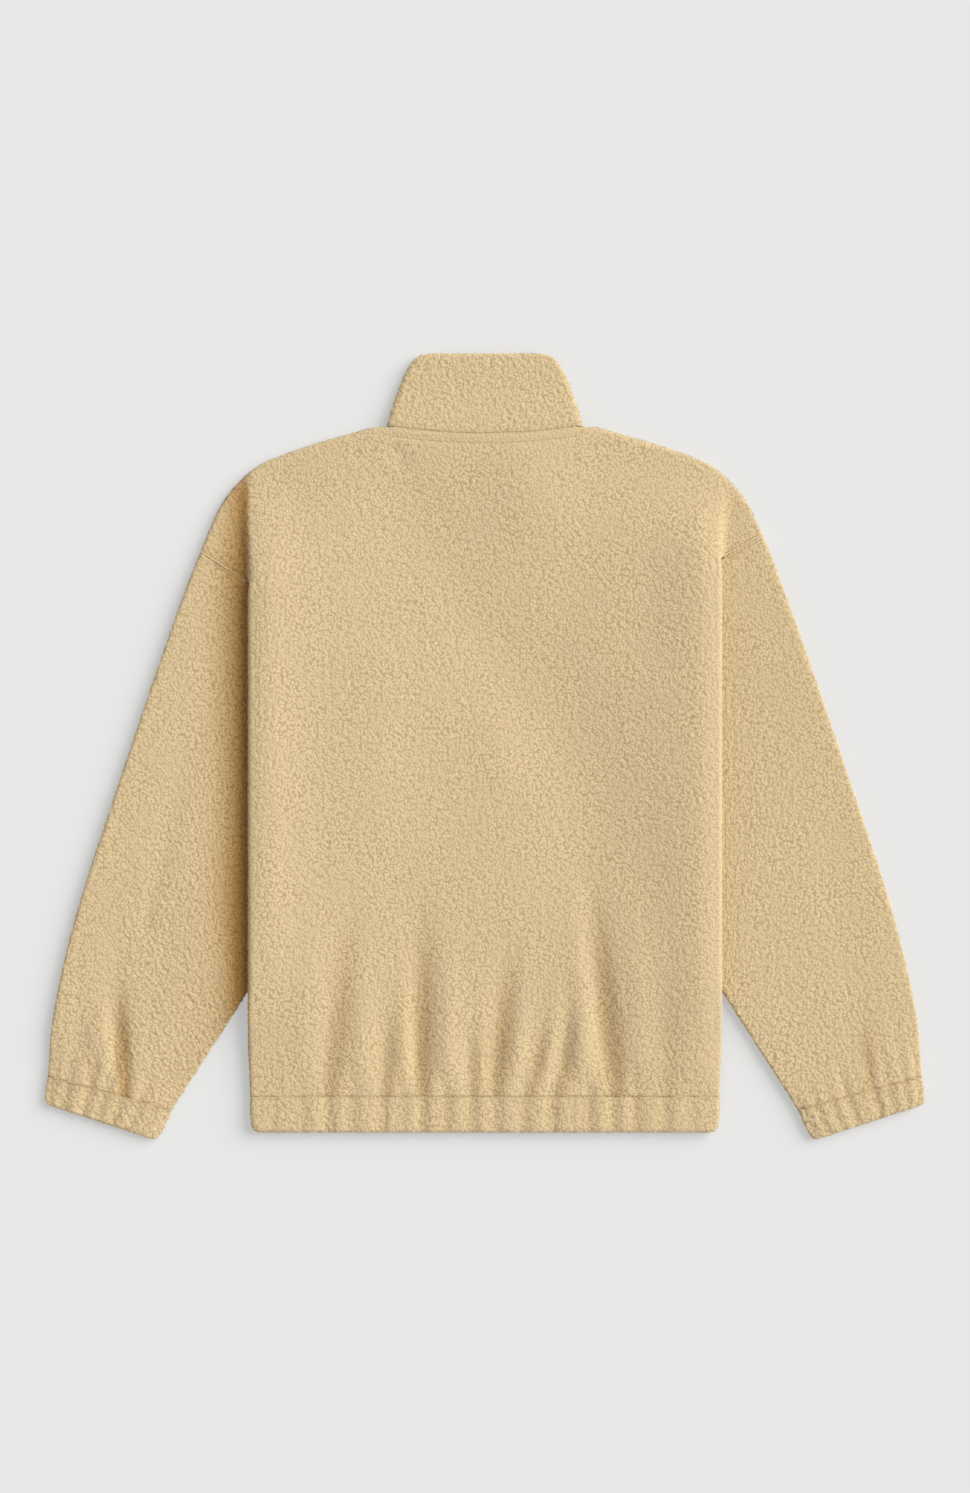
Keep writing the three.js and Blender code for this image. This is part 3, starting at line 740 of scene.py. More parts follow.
@lru_cache(maxsize=4000)
def backRim(u, row, inset):
    # next to the contour: turned down to the front along the shoulders, flat at the neck
    line = backContour()
    p = pick(line, u)
    along = heading(line, u)
    way = seamWay("left" if u < 0.5 else "right")
    near = min(u, 1 - u) * line["length"]
    inward = way.lerp(Vector((along.y, -along.x)), smooth(near, 0, 45)).normalized()
    turn = smooth(abs(p.x), neckHalf - 8, neckHalf + 5)  # 0 at the neck to 1 along the shoulders
    start = inset * turn
    across, up = fullTurn((1 - row) * math.pi / 2)
    reach = start + (jacket["shoulderRoll"] - start) * (1 - across)
    at = p + inward * reach
    full = backUnder(at.x, at.y) if inset else backTop(at.x, at.y)
    rim = wall + gap
    z = mix(full, rim + (full - rim) * up, turn)
    spot = p + inward * mix(reach, jacket["shoulderRoll"] * (1.5 * row - 0.5), turn)
    return Vector((at.x, at.y, z)), spot


@lru_cache(maxsize=4000)
def sideHeight(name, w):
    start = sides[name]["seamTop"] + seamWay(name).y * jacket["shoulderRoll"]
    return mix(start, hemSeamY + seam / 2, w)


def backSide(name, w, k, inset):
    # k runs from 0 at the body to 1 at the sewn edge
    side = sides[name]
    sign = side["sign"]
    y = sideHeight(name, w)
    length = backContour()["length"]
    margin = back["sideMargin"]
    corner = margin * (1 - k) / length
    base = backRim(corner if sign < 0 else 1 - corner, 1.0, 0.0)[0]
    tip = backRim(0.0 if sign < 0 else 1.0, 1.0, 0.0)[0]
    foldY = side["seamFold"] + 1
    start = sideHeight(name, 0.0)
    turned = smooth(y, foldY, start)
    flatX = foldX + back["lap"]
    if y > foldY:
        flatX = mix(foldX + jacket["seamOut"], abs(tip.x), (y - foldY) / (start - foldY))
    straight = Vector((-(back["lap"] + side["curl"]) * (1 - k) * sign, 0))
    flat = Vector((sign * flatX, y)) + straight.lerp((base - tip).xy, turned)
    roll = smooth(-y, -(side["seamFold"] + 4), -(side["seamFold"] - 13))
    flatZ = backUnder(flat.x, flat.y) if inset else backTop(flat.x, flat.y)
    if not roll:
        return Vector((flat.x, flat.y, flatZ)), flat
    turns = k * (back["curlSteps"] + 1) / back["curlSteps"]
    radius, bottom = foldRadius(y, side), sideBottom(y)
    spot = flat.lerp(Vector((sign * (foldX - side["curl"] + math.pi * radius * turns), y)), roll)
    centre = foldEdge(y) - radius
    if turns <= 1:
        angle = math.pi * turns
        swing = radius - inset
        free = smooth(-y, 236, 254)  # fuller where it no longer lies on the sleeve
        across, up = fullTurn(angle)
        across, up = mix(math.sin(angle), across, free), mix(math.cos(angle), up, free)
        rolled = (centre + swing * across, bottom + radius + swing * up)
    else:
        rolled = (mix(centre, innerX + gap, (turns - 1) * back["curlSteps"]), bottom + inset)
    x, z = mix(flat.x, sign * rolled[0], roll), mix(flatZ, rolled[1], roll)
    return Vector((x, mix(flat.y, y, roll), z)), spot


@lru_cache(maxsize=4000)
def backSideLine(name, w):
    return backSide(name, w, 0.0, 0.0)[0].xy


@lru_cache(maxsize=4000)
def backTopLine(u):
    return backRim(u, 1.0, 0.0)[0].xy


def backPlace(u, v, inside):
    inset = wall if inside else 0.0
    runs = [(back["sideCells"], 1, 0), (back["bodyCells"], 0, 1), (back["sideCells"], 0, 1)]
    run, along = spread(u, runs)
    shoulder, w = spread(v, [(back["rows"], 0, 1), (back["rollCells"], 1, 0)])
    inner = back["sideMargin"] / backContour()["length"]
    if run == 0:
        topU = inner * (1 - along)
    elif run == 2:
        topU = 1 - inner * (1 - along)
    else:
        topU = mix(inner, 1 - inner, along)
    if shoulder:
        point, spot = backRim(topU, w, inset)
    elif run != 1:
        point, spot = backSide("left" if run == 0 else "right", 1 - w, along, inset)
    else:
        down = 1 - w
        left, right = backSideLine("left", down), backSideLine("right", down)
        hem = backSideLine("left", 1.0).lerp(backSideLine("right", 1.0), along)
        ends = backSideLine("left", 0.0).lerp(backSideLine("right", 0.0), along)
        at = backTopLine(topU).lerp(hem, down) + left.lerp(right, along) - ends.lerp(hem, down)
        z = backUnder(at.x, at.y) if inside else backTop(at.x, at.y)
        point, spot = Vector((at.x, at.y, z)), at
    if inside:
        return point, spot, 0.0, pile["open"]
    hemGap = point.y - hemSeamY
    neckGap = neckLine(point.x) - gap - point.y if abs(point.x) < neckHalf + 6 else farOff
    seamGap = armGap(point)
    length = min(seamPile(hemGap), sewnPile(seamGap))
    point.z -= (seamDip(hemGap) + sewnDip(seamGap)) * onTop(point)
    if neckGap < 40:
        fromEnds = smooth(neckHalf + 4 - abs(point.x), 0, 14)
        length *= mix(1.0, mix(back["neckPile"], 1.0, smooth(neckGap, 8.0, 12.5)), fromEnds)
        stitch = bell(neckGap - back["neckStitch"], 1.9)
        point.z -= fromEnds * (back["neckDip"] * stitch + seamDip(neckGap))
    steps = along * (back["curlSteps"] + 1)
    if run != 1 and not shoulder and steps > 4:
        # none on the cloth turned in under the fold
        length *= 1 - smooth(steps, 4, 5) * smooth(-point.y, -170, -140)
    if run != 1:
        # brushed flat over the folds
        length *= mix(1.0, 0.55, bell(abs(point.x) - foldX + 3, 4) * smooth(point.z, 9, 12))
    # shorter pile on the right fold's flank, which faces the light: lower relief and fainter painted
    # crevice shade there
    elif point.x > 0:
        length *= mix(1.0, 0.6, bell(point.x - foldX + 9, 8))
    return point, spot, length, backPaintedShade(point)


# fronts: flat on the surface, meeting at the centre

front = {"columns": 22, "rows": 54}


def frontPlace(name):
    sign = sides[name]["sign"]
    shoulder = contour(1, outlineRows[0][0], sides[name]["seamTop"])
    neck = [frontNeck(k / 8) - Vector((0, gap)) for k in range(9)]
    topEdge = [*neck, *shoulder]
    hem = hemSeamY + seam / 2
    sideEdge = [*armhole(name)[:-1], Vector((innerX, hem))]
    corners = [topEdge[0], topEdge[-1], Vector((gap / 2, hem)), Vector((innerX, hem))]

    def place(u, v, inside):
        down = 1 - v
        top, low = bent(topEdge, u), corners[2].lerp(corners[3], u)
        near, far = corners[0].lerp(corners[2], down), bent(sideEdge, down)
        flat = corners[0].lerp(corners[1], u).lerp(low, down)
        at = top.lerp(low, down) + near.lerp(far, u) - flat
        spot = Vector((sign * at.x, at.y))
        return Vector((sign * at.x, at.y, 0.0 if inside else wall)), spot, 0.0, pile["open"]

    return place


# sleeves and cuffs: flattened tubes, with the underarm seam as a closed slit underneath


def tubePlace(tube, ring, u, inset):
    # ring has the line between the two edge centres, the edges, and the height of the top
    run, along = spread(u, tubeRuns(tube))
    out, inn = ring["out"], ring["inn"]
    if run == 2:
        at = ring["line"](along)
        return Vector((at.x, at.y, ring["top"](along) - inset)), at
    if run in (0, 4):  # the lower layer, on both sides of the slit
        at = ring["line"](along, False)
        near = out if run == 0 else inn
        spot = near["centre"] + near["away"] * (near["radius"] * math.pi + (at - near["centre"]).length)
        return Vector((at.x, at.y, inset)), spot
    edge = out if run == 1 else inn
    high = ring["top"](0.0 if run == 1 else 1.0) / 2
    angle = math.pi * along  # from the top
    across, up = fullTurn(angle)
    at = edge["centre"] + edge["away"] * ((edge["radius"] - inset) * across)
    spot = edge["centre"] + edge["away"] * (edge["radius"] * angle)
    return Vector((at.x, at.y, high + (high - inset) * up)), spot


sleeve = {
    "rows": 50,
    "upper": 16,
    "round": 2,
    "lower": 12,
    "slit": (0.93, 0.9315),  # shares of the width, from the outer edge
    "outerRadius": 6.0,
    "crown": 3.4,  # how much higher its middle is than its edges
}

cuff = {
    "rows": 5,
    "upper": 16,
    "round": 2,
    "lower": 6,
    "slit": (0.9, 0.903),
    "top": 11.4,  # height between the gathers
    "gather": 0.052,  # width of one, as a share of the cuff's
}


def tubeRuns(tube):
    # cells and places round a tube: under to the outer edge, over it, back under to the slit
    first, last = tube["slit"]
    lower, turned = tube["lower"], tube["round"]
    return [(lower, first, 0), (turned, 1, 0), (tube["upper"], 0, 1), (turned, 0, 1), (1, 1, last)]


def cuffWaves(name, share):
    return sum(depth * bell(share - at, cuff["gather"]) for at, depth in cuffGathers[name])


def cuffTop(name, share):
    # height across the cuff seam, shared by the sleeve and the cuff
    ends = smooth(share, 0, 0.1) * smooth(1 - share, 0, 0.1)
    return mix(2 * curl, cuff["top"] - cuffWaves(name, share), ends)


def sleevePlace(name):
    sign = sides[name]["sign"]
    sewn = [p + Vector((seam, -seam)) for p in armhole(name)]
    seamOut, seamIn = Vector(cuffEnds["seamOut"]), Vector(cuffEnds["seamIn"])
    edgeLine = smoothLine(contour(1, sides[name]["seamTop"], seamOut.y))
    firstWay = (sewn[1] - sewn[0]).normalized()
    cuffWay = (seamIn - seamOut).normalized()
    underarm = sewn[-1]
    fold = sides[name]["seamFold"]
    tucked = [  # the upper layer runs on in under the side fold
        sewn[0], sewn[1], Vector((foldX - 2.5, fold - 1.5)), Vector((foldX - 8, fold - 6)),
        Vector((innerX + gap, fold - 16)), Vector((innerX + gap, fold - 50)), sewn[-1],
    ]
    innerWay = (seamIn - underarm).normalized()
    innerNormal = Vector((-innerWay.y, innerWay.x))

    @lru_cache(maxsize=None)
    def outerEdge(t):
        along = heading(edgeLine, t)
        normal = firstWay.lerp(Vector((along.y, -along.x)), smooth(t, 0, 0.12)).normalized()
        normal = normal.lerp(cuffWay, smooth(t, 0.9, 1)).normalized()
        edge = pick(edgeLine, t) + Vector((seam / 2, -seam)) * bell(t, 0.01)
        radius = mix(sleeve["outerRadius"], curl, smooth(t, 0.8, 1))
        return {"centre": edge + normal * radius, "away": -normal, "radius": radius}

    @lru_cache(maxsize=None)
    def innerEdge(t):
        normal = innerNormal.lerp(-cuffWay, smooth(t, 0.85, 1)).normalized()
        edge = underarm.lerp(seamIn, t)
        return {"centre": edge + normal * curl, "away": -normal, "radius": curl}

    seamStart, seamEnd = outerEdge(0.0)["centre"], innerEdge(0.0)["centre"]
    cuffStart, cuffEnd = outerEdge(1.0)["centre"], innerEdge(1.0)["centre"]

    def acrossSeam(s, upper):
        run, end = tucked if upper else sewn, 0.04
        if s < end:
            return seamStart.lerp(bent(run, end), s / end)
        if s > 1 - end:
            return bent(run, 1 - end).lerp(seamEnd, (s - (1 - end)) / end)
        return bent(run, s)

    def place(u, v, inside):
        t = 1 - v
        out, inn = outerEdge(t), innerEdge(t)

        def line(s, upper=True):
            across = out["centre"].lerp(inn["centre"], s)
            corners = seamStart.lerp(seamEnd, s).lerp(cuffStart.lerp(cuffEnd, s), t)
            return acrossSeam(s, upper).lerp(cuffStart.lerp(cuffEnd, s), t) + across - corners

        def top(s):
            at = line(s)
            free = sleeveTop(at.x, at.y, sides[name], sleeveCreases[name])
            return mix(free, cuffTop(name, s), smooth(t, 0.86, 1))

        ring = {"line": line, "out": out, "inn": inn, "top": top}
        inset = wall if inside else 0.0
        point, spot = tubePlace(sleeve, ring, u, inset)
        if inside:
            return flip(point, sign), flip(spot, sign), 0.0, pile["open"]
        cuffGap = abs((point.xy - seamOut).dot(Vector((cuffWay.y, -cuffWay.x))))
        seamGap = armGap(point)
        length = min(seamPile(cuffGap), sewnPile(seamGap)) * smooth(point.x, foldX - 6, foldX - 1)
        if point.x < foldX and point.y < -244:  # out from under the body again
            length = seamPile(cuffGap)
        length *= smooth(point.z, 1.0, 3.0)
        # painted shade beside the side fold, on crease walls turned from the light, and along the cuff
        # seam on the upper layer
        shaded = point.x - 4 * sign
        paintedShade = sum(max(creaseDepth(shaded, point.y, *crease), 0.0) for crease in sleeveCreases[name])
        depth = foldPaintedShade(sign * point.x, point.y) + 0.55 * smooth(paintedShade, 0.3, 4.4)
        if point.z > lapTop - 0.2:
            depth += 0.2 * bell(cuffGap, 2)
        point.z -= (sewnDip(seamGap) + seamDip(cuffGap)) * onTop(point)
        return flip(point, sign), flip(spot, sign), length, min(depth, 1.0)

    return place


cuffRows = [  # share of the depth, how far the ends draw in, how far the top drops
    (0, 0, 0), (0.35, 0, 0.5), (0.72, 0.4, 0.6), (0.92, 2.4, 0.7), (1, 5.5, 1.2),
]


def ramp(rows, t, column):
    # a column of a table at a share of its first, eased from row to row
    for a, b in zip(rows, rows[1:]):
        if t <= b[0]:
            break
    return mix(a[column], b[column], smooth(t, a[0], b[0]))


def cuffPlace(name):
    sign = sides[name]["sign"]
    corner = {key: Vector(value) for key, value in cuffEnds.items()}
    depth = (corner["edgeOut"] - corner["seamOut"]).length

    def place(u, v, inside):
        t = 1 - v
        inset = rimInset((1 - t) * depth, inside)
        start = corner["seamOut"].lerp(corner["edgeOut"], t)
        end = corner["seamIn"].lerp(corner["edgeIn"], t)
        way = (end - start).normalized()
        down = Vector((-way.y, way.x)) * seam * (1 - t)
        drawIn = curl + ramp(cuffRows, t, 1)
        start, end = start + way * drawIn + down, end - way * drawIn + down
        ring = {
            "line": lambda s, upper=True: start.lerp(end, s),
            "out": {"centre": start, "away": -way, "radius": curl},
            "inn": {"centre": end, "away": way, "radius": curl},
            "top": lambda s: max(cuffTop(name, s) - ramp(cuffRows, t, 2), 2 * wall + gap),
        }
        point, spot = tubePlace(cuff, ring, u, inset)
        length = easeSeam(point, t * depth, inside)
        share = (point.xy - start).dot(way) / (end - start).length
        # painted shade in the gathers and along the cuff seam
        paintedShade = pile["open"] + 0.05 * cuffWaves(name, share) + 0.2 * bell(t * depth, 2)
        return flip(point, sign), flip(spot, sign), length, paintedShade

    return place


# hem band and collar: half rings over the back, open at the centre front

hemBand = {
    "upper": 42,
    "lower": 10,
    "rows": 4,
    "gather": 7.5,
    "gatherReach": 24,  # past which a gather no longer counts
    "edgeDrop": 0.8,
}

hemRows = [  # height, half width
    (hemSeamY - seam / 2, 227.6), (-356, 227.6), (-367.5, 226.4), (-372, 223.5), (hemEdgeY, 219),
]

collar = {
    "radius": 6.0,
    "upper": 18,
    "lower": 10,
    "rows": 9,
    "top": 10.6,  # height past the neck seam
    "edgeDrop": 0.8,
}

collarRows = [  # height, half width
    (jacket["neckY"], neckHalf), (321, 91.2), (334, 87.2), (346, 83.8), (358, 79.4), (368, 74.2),
    (375.5, 68.4), (379.2, 62), (jacket["collarTopY"], 55),
]


def bandRuns(band):
    # cells and places round a band, from the centre front round the back
    lower, upper = band["lower"], band["upper"]
    return [(lower, 0, 1), (1, 0, 1), (upper, 0, 1), (1, 1, 0), (lower, 1, 0)]


def bandPlace(band, u, inset, reach, radius, top, upperY, lowerY):
    # reach is half the width, up to where the sides turn; the last three give heights across it
    run, along = spread(u, bandRuns(band))
    sign = -1 if run < 2 else 1
    if run == 2:
        x = mix(-reach, reach, along)
        return Vector((x, upperY(x), top(x) - inset)), Vector((x, upperY(x)))
    if run in (0, 4):
        x = sign * mix(gap / 2, reach, along)
        spot = Vector((sign * (2 * reach + math.pi * radius - abs(x)), lowerY(x, along)))
        return Vector((x, lowerY(x, along), inset)), spot
    angle = math.pi * (1 - along)  # from the top
    across, up = fullTurn(angle)
    high = top(sign * reach) / 2
    x = sign * (reach + (radius - inset) * across)
    y = mix(lowerY(sign * reach, 1.0), upperY(sign * reach), along)
    spot = Vector((sign * (reach + radius * angle), y))
    return Vector((x, y, high + (high - inset) * up)), spot


def hemPlace(u, v, inside):
    y = mix(hemEdgeY, hemRows[0][0], v)
    inset = rimInset(y - hemEdgeY, inside)
    reach = onRows(hemRows, y) - curl

    def top(x):
        drop = hemBand["edgeDrop"] * smooth(y, hemEdgeY + 4, hemEdgeY)
        return max(hemTop(x) - drop, 2 * wall + gap)

    point, spot = bandPlace(hemBand, u, inset, reach, curl, top, lambda x: y, lambda x, s: y)
    seamGap = hemRows[0][0] - y
    length = easeSeam(point, seamGap, inside)
    # painted shade in the gathers and along the hem seam
    depth = pile["open"] + 0.04 * hemWaves(point.x) + 0.1 * bell(seamGap, 2)
    return point, spot, length, depth


def collarPlace(u, v, inside):
    y = mix(jacket["neckY"], jacket["collarTopY"], v)
    half = onRows(collarRows[::-1], y)
    inset = rimInset(jacket["collarTopY"] - y, inside)
    flat = 1 - smooth(v, 0, 0.7)

    def rise(x):
        return (neckLine(x * (neckHalf / half)) - jacket["neckY"]) * flat

    def lowerY(x, s):
        return y + rise(x) - jacket["frontNeckDrop"] * (1 - s**2)

    def top(x):
        full = mix(backTop(x, neckLine(x)), collar["top"], smooth(v, 0, 0.6))
        return full - collar["edgeDrop"] * smooth(v, 0.95, 1)

    def upperY(x):
        return y + rise(x)

    radius = collar["radius"]
    point, spot = bandPlace(collar, u, inset, half - radius, radius, top, upperY, lowerY)
    seamGap = y - jacket["neckY"]
    length = easeSeam(point, seamGap, inside)
    # painted shade along the neck seam
    return point, spot, length, pile["open"] + 0.2 * bell(seamGap, 2)


# finishes

fleece = {
    "tip": (0.735, 0.58, 0.355),
    "body": (0.68, 0.53, 0.315),
    "creviceShade": (0.43, 0.31, 0.15),
    # multiplied in by pile depth as painted shade
    "shadeColour": (0.56, 0.385, 0.165),
    "sheen": 0.5,
    "sheenTint": (1.0, 0.9, 0.72),
    "glow": (1.0, 0.85, 0.65),  # light that comes through at the edges
    "glowDepth": 0.02,
}


def newFinish(name, inputs):
    finish = bpy.data.materials.new(name)
    finish.use_nodes = True
    tree = finish.node_tree
    tree.nodes.clear()
    shader = addNode(tree, "ShaderNodeBsdfPrincipled", inputs)
    addNode(tree, "ShaderNodeOutputMaterial", {"Surface": shader.outputs["BSDF"]})
    return finish, tree, shader


def makeFleece():
    finish, tree, shader = newFinish("fleecePile", {
        "Roughness": 0.95,
        "Specular IOR Level": 0.2,
        "Sheen Weight": fleece["sheen"],
        "Sheen Roughness": 0.5,
        "Sheen Tint": (*fleece["sheenTint"], 1),
        "Subsurface Radius": fleece["glow"],
        "Subsurface Scale": fleece["glowDepth"],
    })

    def stored(name):
        return addNode(tree, "ShaderNodeAttribute", {}, attribute_name=name).outputs

    place = stored("pilePlace")["Vector"]
    length, depth, edge = [stored(name)["Fac"] for name in ("pileLength", "pileShadeDepth", "pileEdge")]

    # single fibres, under a millimetre across, and pile brushed this way and that
    fibres = addNode(tree, "ShaderNodeTexNoise", {
        "Vector": place, "Scale": 900, "Detail": 2, "Distortion": 1.5,
    }).outputs["Fac"]
    patches = addNode(tree, "ShaderNodeTexNoise", {
        "Vector": place, "Scale": 26, "Detail": 2,
    }).outputs["Fac"]

    # curls, with painted shade between them and pale on their tips
    frayed = addNode(tree, "ShaderNodeMath", {
        0: fibres, 1: 0.9, 2: addClumps(tree, place),
    }, operation="MULTIPLY_ADD").outputs["Value"]
    scaled = addNode(tree, "ShaderNodeMath", {0: frayed, 1: 0.62}, operation="MULTIPLY")
    colours = addNode(tree, "ShaderNodeValToRGB", {"Fac": scaled.outputs["Value"]})
    stops = colours.color_ramp.elements
    stops[0].position = 0.15
    stops[0].color = (*fleece["creviceShade"], 1)
    stops[1].color = (*fleece["tip"], 1)
    stops.new(0.55).color = (*fleece["body"], 1)

    # they show less where the pile is brushed flat, and not at all where sewing holds it down
    brushed = addNode(tree, "ShaderNodeMapRange", {
        "Value": patches, "From Min": 0.35, "From Max": 0.62, "To Min": 0.55, "To Max": 1.15,
    })
    shown = addNode(tree, "ShaderNodeMath", {
        0: length, 1: brushed.outputs["Result"],
    }, operation="MULTIPLY", use_clamp=True)
    curls = addNode(tree, "ShaderNodeMix", {
        "Factor": shown.outputs["Value"], "A": (*fleece["body"], 1), "B": colours.outputs["Color"],
    }, data_type="RGBA")

    # patches are a little paler or darker at random, and painted shade darkens the fleece in folds, on
    # crease walls turned from the light and along seams
    tone = addNode(tree, "ShaderNodeMapRange", {
        "Value": patches, "From Min": 0.3, "From Max": 0.7, "To Min": 0.975, "To Max": 1.02,
    })
    toned = addNode(tree, "ShaderNodeMix", {
        "Factor": 1, "A": curls.outputs["Result"], "B": tone.outputs["Result"],
    }, data_type="RGBA", blend_type="MULTIPLY")
    shadeMixed = addNode(tree, "ShaderNodeMix", {
        "Factor": depth, "A": toned.outputs["Result"], "B": (*fleece["shadeColour"], 1),
    }, data_type="RGBA", blend_type="MULTIPLY")
    tree.links.new(shadeMixed.outputs["Result"], shader.inputs["Base Color"])

    # thin pile on an outer edge lets light through, stands every way and looks even
    tree.links.new(edge, shader.inputs["Subsurface Weight"])
    facing = addNode(tree, "ShaderNodeNewGeometry", {})
    leaning = addNode(tree, "ShaderNodeMix", {
        "Factor": edge, "A": facing.outputs["Normal"], "B": (0, 0, 1),
    }, data_type="VECTOR")
    evened = addNode(tree, "ShaderNodeVectorMath", {0: leaning.outputs["Result"]}, operation="NORMALIZE")
    bump = addNode(tree, "ShaderNodeBump", {
        "Normal": evened.outputs["Vector"], "Height": frayed, "Strength": 0.5, "Distance": 0.0007,
    })
    tree.links.new(bump.outputs["Normal"], shader.inputs["Normal"])
    return finish


fleeceFinish = makeFleece()


# the pieces


def threadPiece(name, mesh, depth):
    # sewn parts share the cloth's finish: no pile on them, and painted shade as deep in it as they lie
    bmesh.ops.recalc_face_normals(mesh, faces=mesh.faces[:])
    count = len(mesh.verts)
    places = [c for vert in mesh.verts for c in (vert.co.x, vert.co.y, 0.0)]
    piece = makePiece(name, mesh, places, {"pileLength": [0.0] * count, "pileShadeDepth": [depth] * count})
    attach(piece, "root")
    return piece


# the turned-in cloth's depth is painted shade
turnedIn = {"half": 1.5, "levels": (0.15, 1.1, 2.6), "depth": 0.35}  # below the cloth's face


def seamRidge(name, line):
    # the cloth turned in at a seam, seen at the bottom of its groove
    mesh = bmesh.new()
    rings = []
    for i, point in enumerate(line):
        way = (line[min(i + 1, len(line) - 1)] - line[max(i - 1, 0)]).normalized()
        side = Vector((way.y, -way.x, 0)).normalized() * turnedIn["half"]
        high, middle, low = [point - Vector((0, 0, down)) for down in turnedIn["levels"]]
        corners = (high, middle + side, low, middle - side)
        ring = [mesh.verts.new(corner * mm) for corner in corners]
        rings.append([mesh.edges.new(ends) for ends in zip(ring, ring[1:] + ring[:1])])
    for a, b in zip(rings, rings[1:]):
        bmesh.ops.bridge_loops(mesh, edges=a + b)
    for ring in (rings[0], rings[-1]):
        bmesh.ops.edgeloop_fill(mesh, edges=ring)
    return threadPiece(name, mesh, turnedIn["depth"])


def stitchRow(name, line, thread):
    # one row of short stitches, sunk halfway into the cloth
    mesh = bmesh.new()
    even = evenLine(line, max(int(evenLine(line, 1)["length"] / thread["pitch"]), 2))["points"]
    for a, b in zip(even, even[1:]):
        way = (b - a).normalized()
        turn = way.to_track_quat("X", "Z").to_matrix().to_4x4()
        radius = thread["radius"] * mm
        size = Matrix.Diagonal((thread["length"] / 2 * mm, radius, radius, 1))
        place = Matrix.Translation((a + b) / 2 * mm)
        bmesh.ops.create_uvsphere(mesh, u_segments=6, v_segments=4, radius=1.0, matrix=place @ turn @ size)
    return threadPiece(name, mesh, thread["depth"])


clothPieces = {}

cells = (back["bodyCells"] + 2 * back["sideCells"], back["rows"] + back["rollCells"])
clothPieces["back"] = clothSlab("backPile", cells, 5, backPlace)
for name in sides:
    cells = (front["columns"], front["rows"])
    clothPieces["front_" + name] = clothSlab(f"frontPile_{name}", cells, 0, frontPlace(name))
    clothPieces["sleeve_" + name] = roundedCloth(
        f"sleevePile_{name}", tubeRuns(sleeve), sleeve["rows"], 5, sleevePlace(name)
    )
    clothPieces["cuff_" + name] = roundedCloth(
        f"cuffPile_{name}", tubeRuns(cuff), cuff["rows"], 4, cuffPlace(name)
    )
clothPieces["hem_band"] = roundedCloth("hemPile", bandRuns(hemBand), hemBand["rows"], 5, hemPlace)
clothPieces["collar"] = roundedCloth("collarPile", bandRuns(collar), collar["rows"], 5, collarPlace)

# sewing: the turned-in cloth at the bottom of each seam, and the rows of stitches beside it


def crossRow(half, cells, height):
    # even points from side to side of the jacket
    return [(half * k / cells, height(half * k / cells)) for k in range(-cells, cells + 1)]


def onCloth(points, height, sink=0.0):
    return [Vector((p[0], p[1], height(p[0], p[1]) - sink)) for p in points]


def sleeveHeight(x, y):
    return sleeveTop(abs(x), y, sides["left" if x < 0 else "right"], [])


def sewArmhole(name):
    sign = sides[name]["sign"]
    start, end = [flip(p, sign) for p in armhole(name)[:2]]
    way = (end - start).normalized()
    across = Vector((way.y, -way.x)) * armSeam["offset"]
    line = onCloth([start.lerp(end, 0.04 + 0.99 * k / 24) for k in range(25)], sleeveHeight)
    for step, point in enumerate(line[-4:], 1):
        point.z += armSeam["endLift"] * step  # where the side fold comes down onto it
    pieces = [seamRidge(f"armSeam_{name}", line)]
    for number, way in enumerate((-1, 1), 1):
        row = [start.lerp(end, 0.05 + 0.9 * i / 24) + across * way for i in range(25)]
        row = onCloth(row, sleeveHeight, armSeam["sink"])
        pieces.append(stitchRow(f"armStitches_{name}_{number}", row, armSeam))
    return pieces


def sewCuff(name):
    sign = sides[name]["sign"]
    start, end = Vector(cuffEnds["seamOut"]), Vector(cuffEnds["seamIn"])
    line = []
    for i in range(61):
        share = 0.05 + 0.9 * i / 60
        at = start.lerp(end, share)
        line.append(Vector((sign * at.x, at.y, cuffTop(name, share))))
    return [seamRidge(f"cuffSeam_{name}", line)]


def sewShoulder(name):
    sign = sides[name]["sign"]
    edge = contour(1, outlineRows[0][0], sides[name]["seamTop"])
    line = []
    for a, b in zip(edge, edge[1:]):
        way = (b - a).normalized()
        at = (a + b) / 2 + Vector((way.y, -way.x)) * shoulderSeam["in"]
        line.append(Vector((sign * at.x, at.y, wall + gap / 2 + shoulderSeam["up"])))
    return seamRidge(f"shoulderSeam_{name}", line)


sewing = {"back": []}
for name in sides:
    sewing["sleeve_" + name] = sewArmhole(name)
    sewing["cuff_" + name] = sewCuff(name)
    sewing["back"].append(sewShoulder(name))
hemRow = crossRow(foldX - 9, 60, lambda x: hemSeamY)
sewing["hem_band"] = [seamRidge("hemSeam", onCloth(hemRow, lambda x, y: hemTop(x)))]
neckRow = crossRow(neckHalf - 7, 24, lambda x: neckLine(x) - seam / 2)
sewing["collar"] = [seamRidge("neckSeam", onCloth(neckRow, backTop))]
neckRow = [(x, y - back["neckStitch"]) for x, y in neckRow]
neckRow = onCloth(neckRow, backTop, neckSeam["sink"])
sewing["back"].append(stitchRow("neckStitches", neckRow, neckSeam))
print("sewing done")

for node, piece in clothPieces.items():
    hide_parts(node)


# surface, light and camera

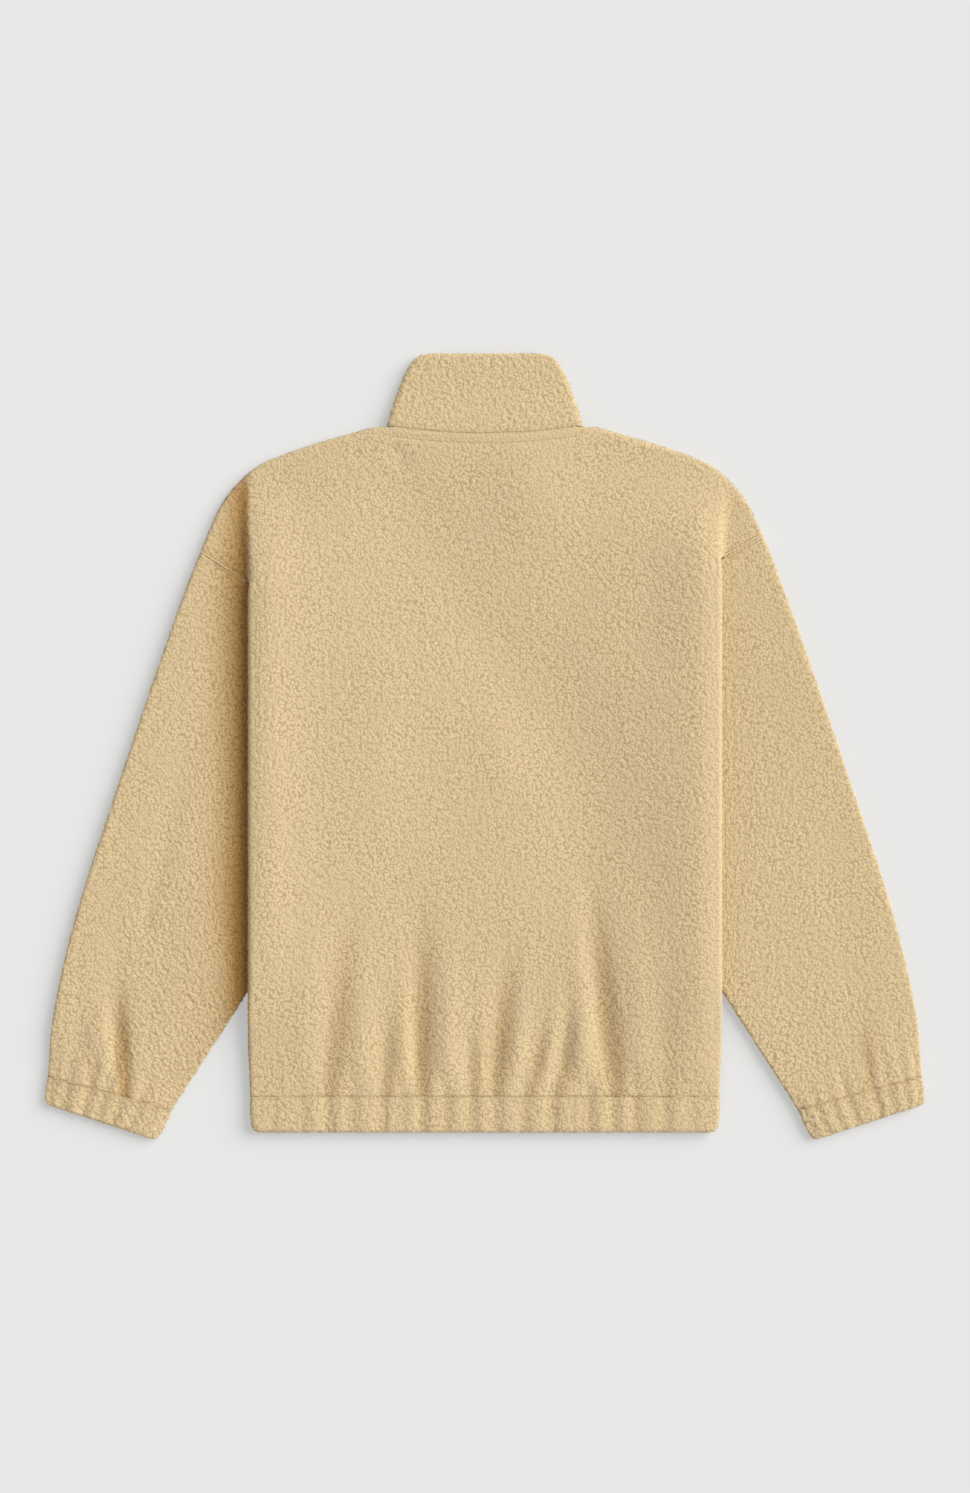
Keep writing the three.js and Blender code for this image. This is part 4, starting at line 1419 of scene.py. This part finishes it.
studio = {
    "floorHalf": 3.0,
    "floorDrop": 0.0004,
    "floorGlow": 0.35,
    "floorColour": 0.42,
    "skyColour": (0.98, 0.99, 1.0),
    "skyStrength": 0.5,
    "sunColour": (1.0, 0.985, 0.95),
    "sunStrength": 3.5,
    "sunAngle": math.radians(50),
    "toSun": (0.74, 0.39, 0.55),
    "frameHeight": 1.448,
    "lens": 85.0,
    "sensor": 36.0,
}


def layFloor():
    mesh = bmesh.new()
    bmesh.ops.create_grid(mesh, x_segments=1, y_segments=1, size=studio["floorHalf"])
    bmesh.ops.translate(mesh, verts=mesh.verts[:], vec=(0, 0, -studio["floorDrop"]))
    data = bpy.data.meshes.new("floor")
    mesh.to_mesh(data)
    mesh.free()
    floor = bpy.data.objects.new("floor", data)
    scene.collection.objects.link(floor)
    grey = studio["floorColour"]
    data.materials.append(newFinish("paleFloor", {
        "Base Color": (grey, grey, grey, 1),
        "Roughness": 1.0,
        "Specular IOR Level": 0.0,
        "Emission Color": (1, 1, 1, 1),
        "Emission Strength": studio["floorGlow"],
    })[0])


def lightStudio():
    world = bpy.data.worlds.new("softSky")
    world.use_nodes = True
    sky = world.node_tree.nodes["Background"]
    sky.inputs["Color"].default_value = (*studio["skyColour"], 1)
    sky.inputs["Strength"].default_value = studio["skyStrength"]
    scene.world = world
    data = bpy.data.lights.new("windowLight", "SUN")
    data.energy = studio["sunStrength"]
    data.angle = studio["sunAngle"]
    data.color = studio["sunColour"]
    sun = bpy.data.objects.new("windowLight", data)
    sun.rotation_euler = Vector(studio["toSun"]).to_track_quat("Z", "Y").to_euler()
    scene.collection.objects.link(sun)


def placeCamera():
    data = bpy.data.cameras.new("overhead")
    data.lens = studio["lens"]
    data.sensor_fit = "VERTICAL"
    data.sensor_height = studio["sensor"]
    camera = bpy.data.objects.new("overhead", data)
    camera.location = (0, 0, studio["frameHeight"] * studio["lens"] / studio["sensor"])
    scene.collection.objects.link(camera)
    scene.camera = camera
    scene.view_settings.view_transform = "Standard"


layFloor()
lightStudio()
placeCamera()
print("studio done")
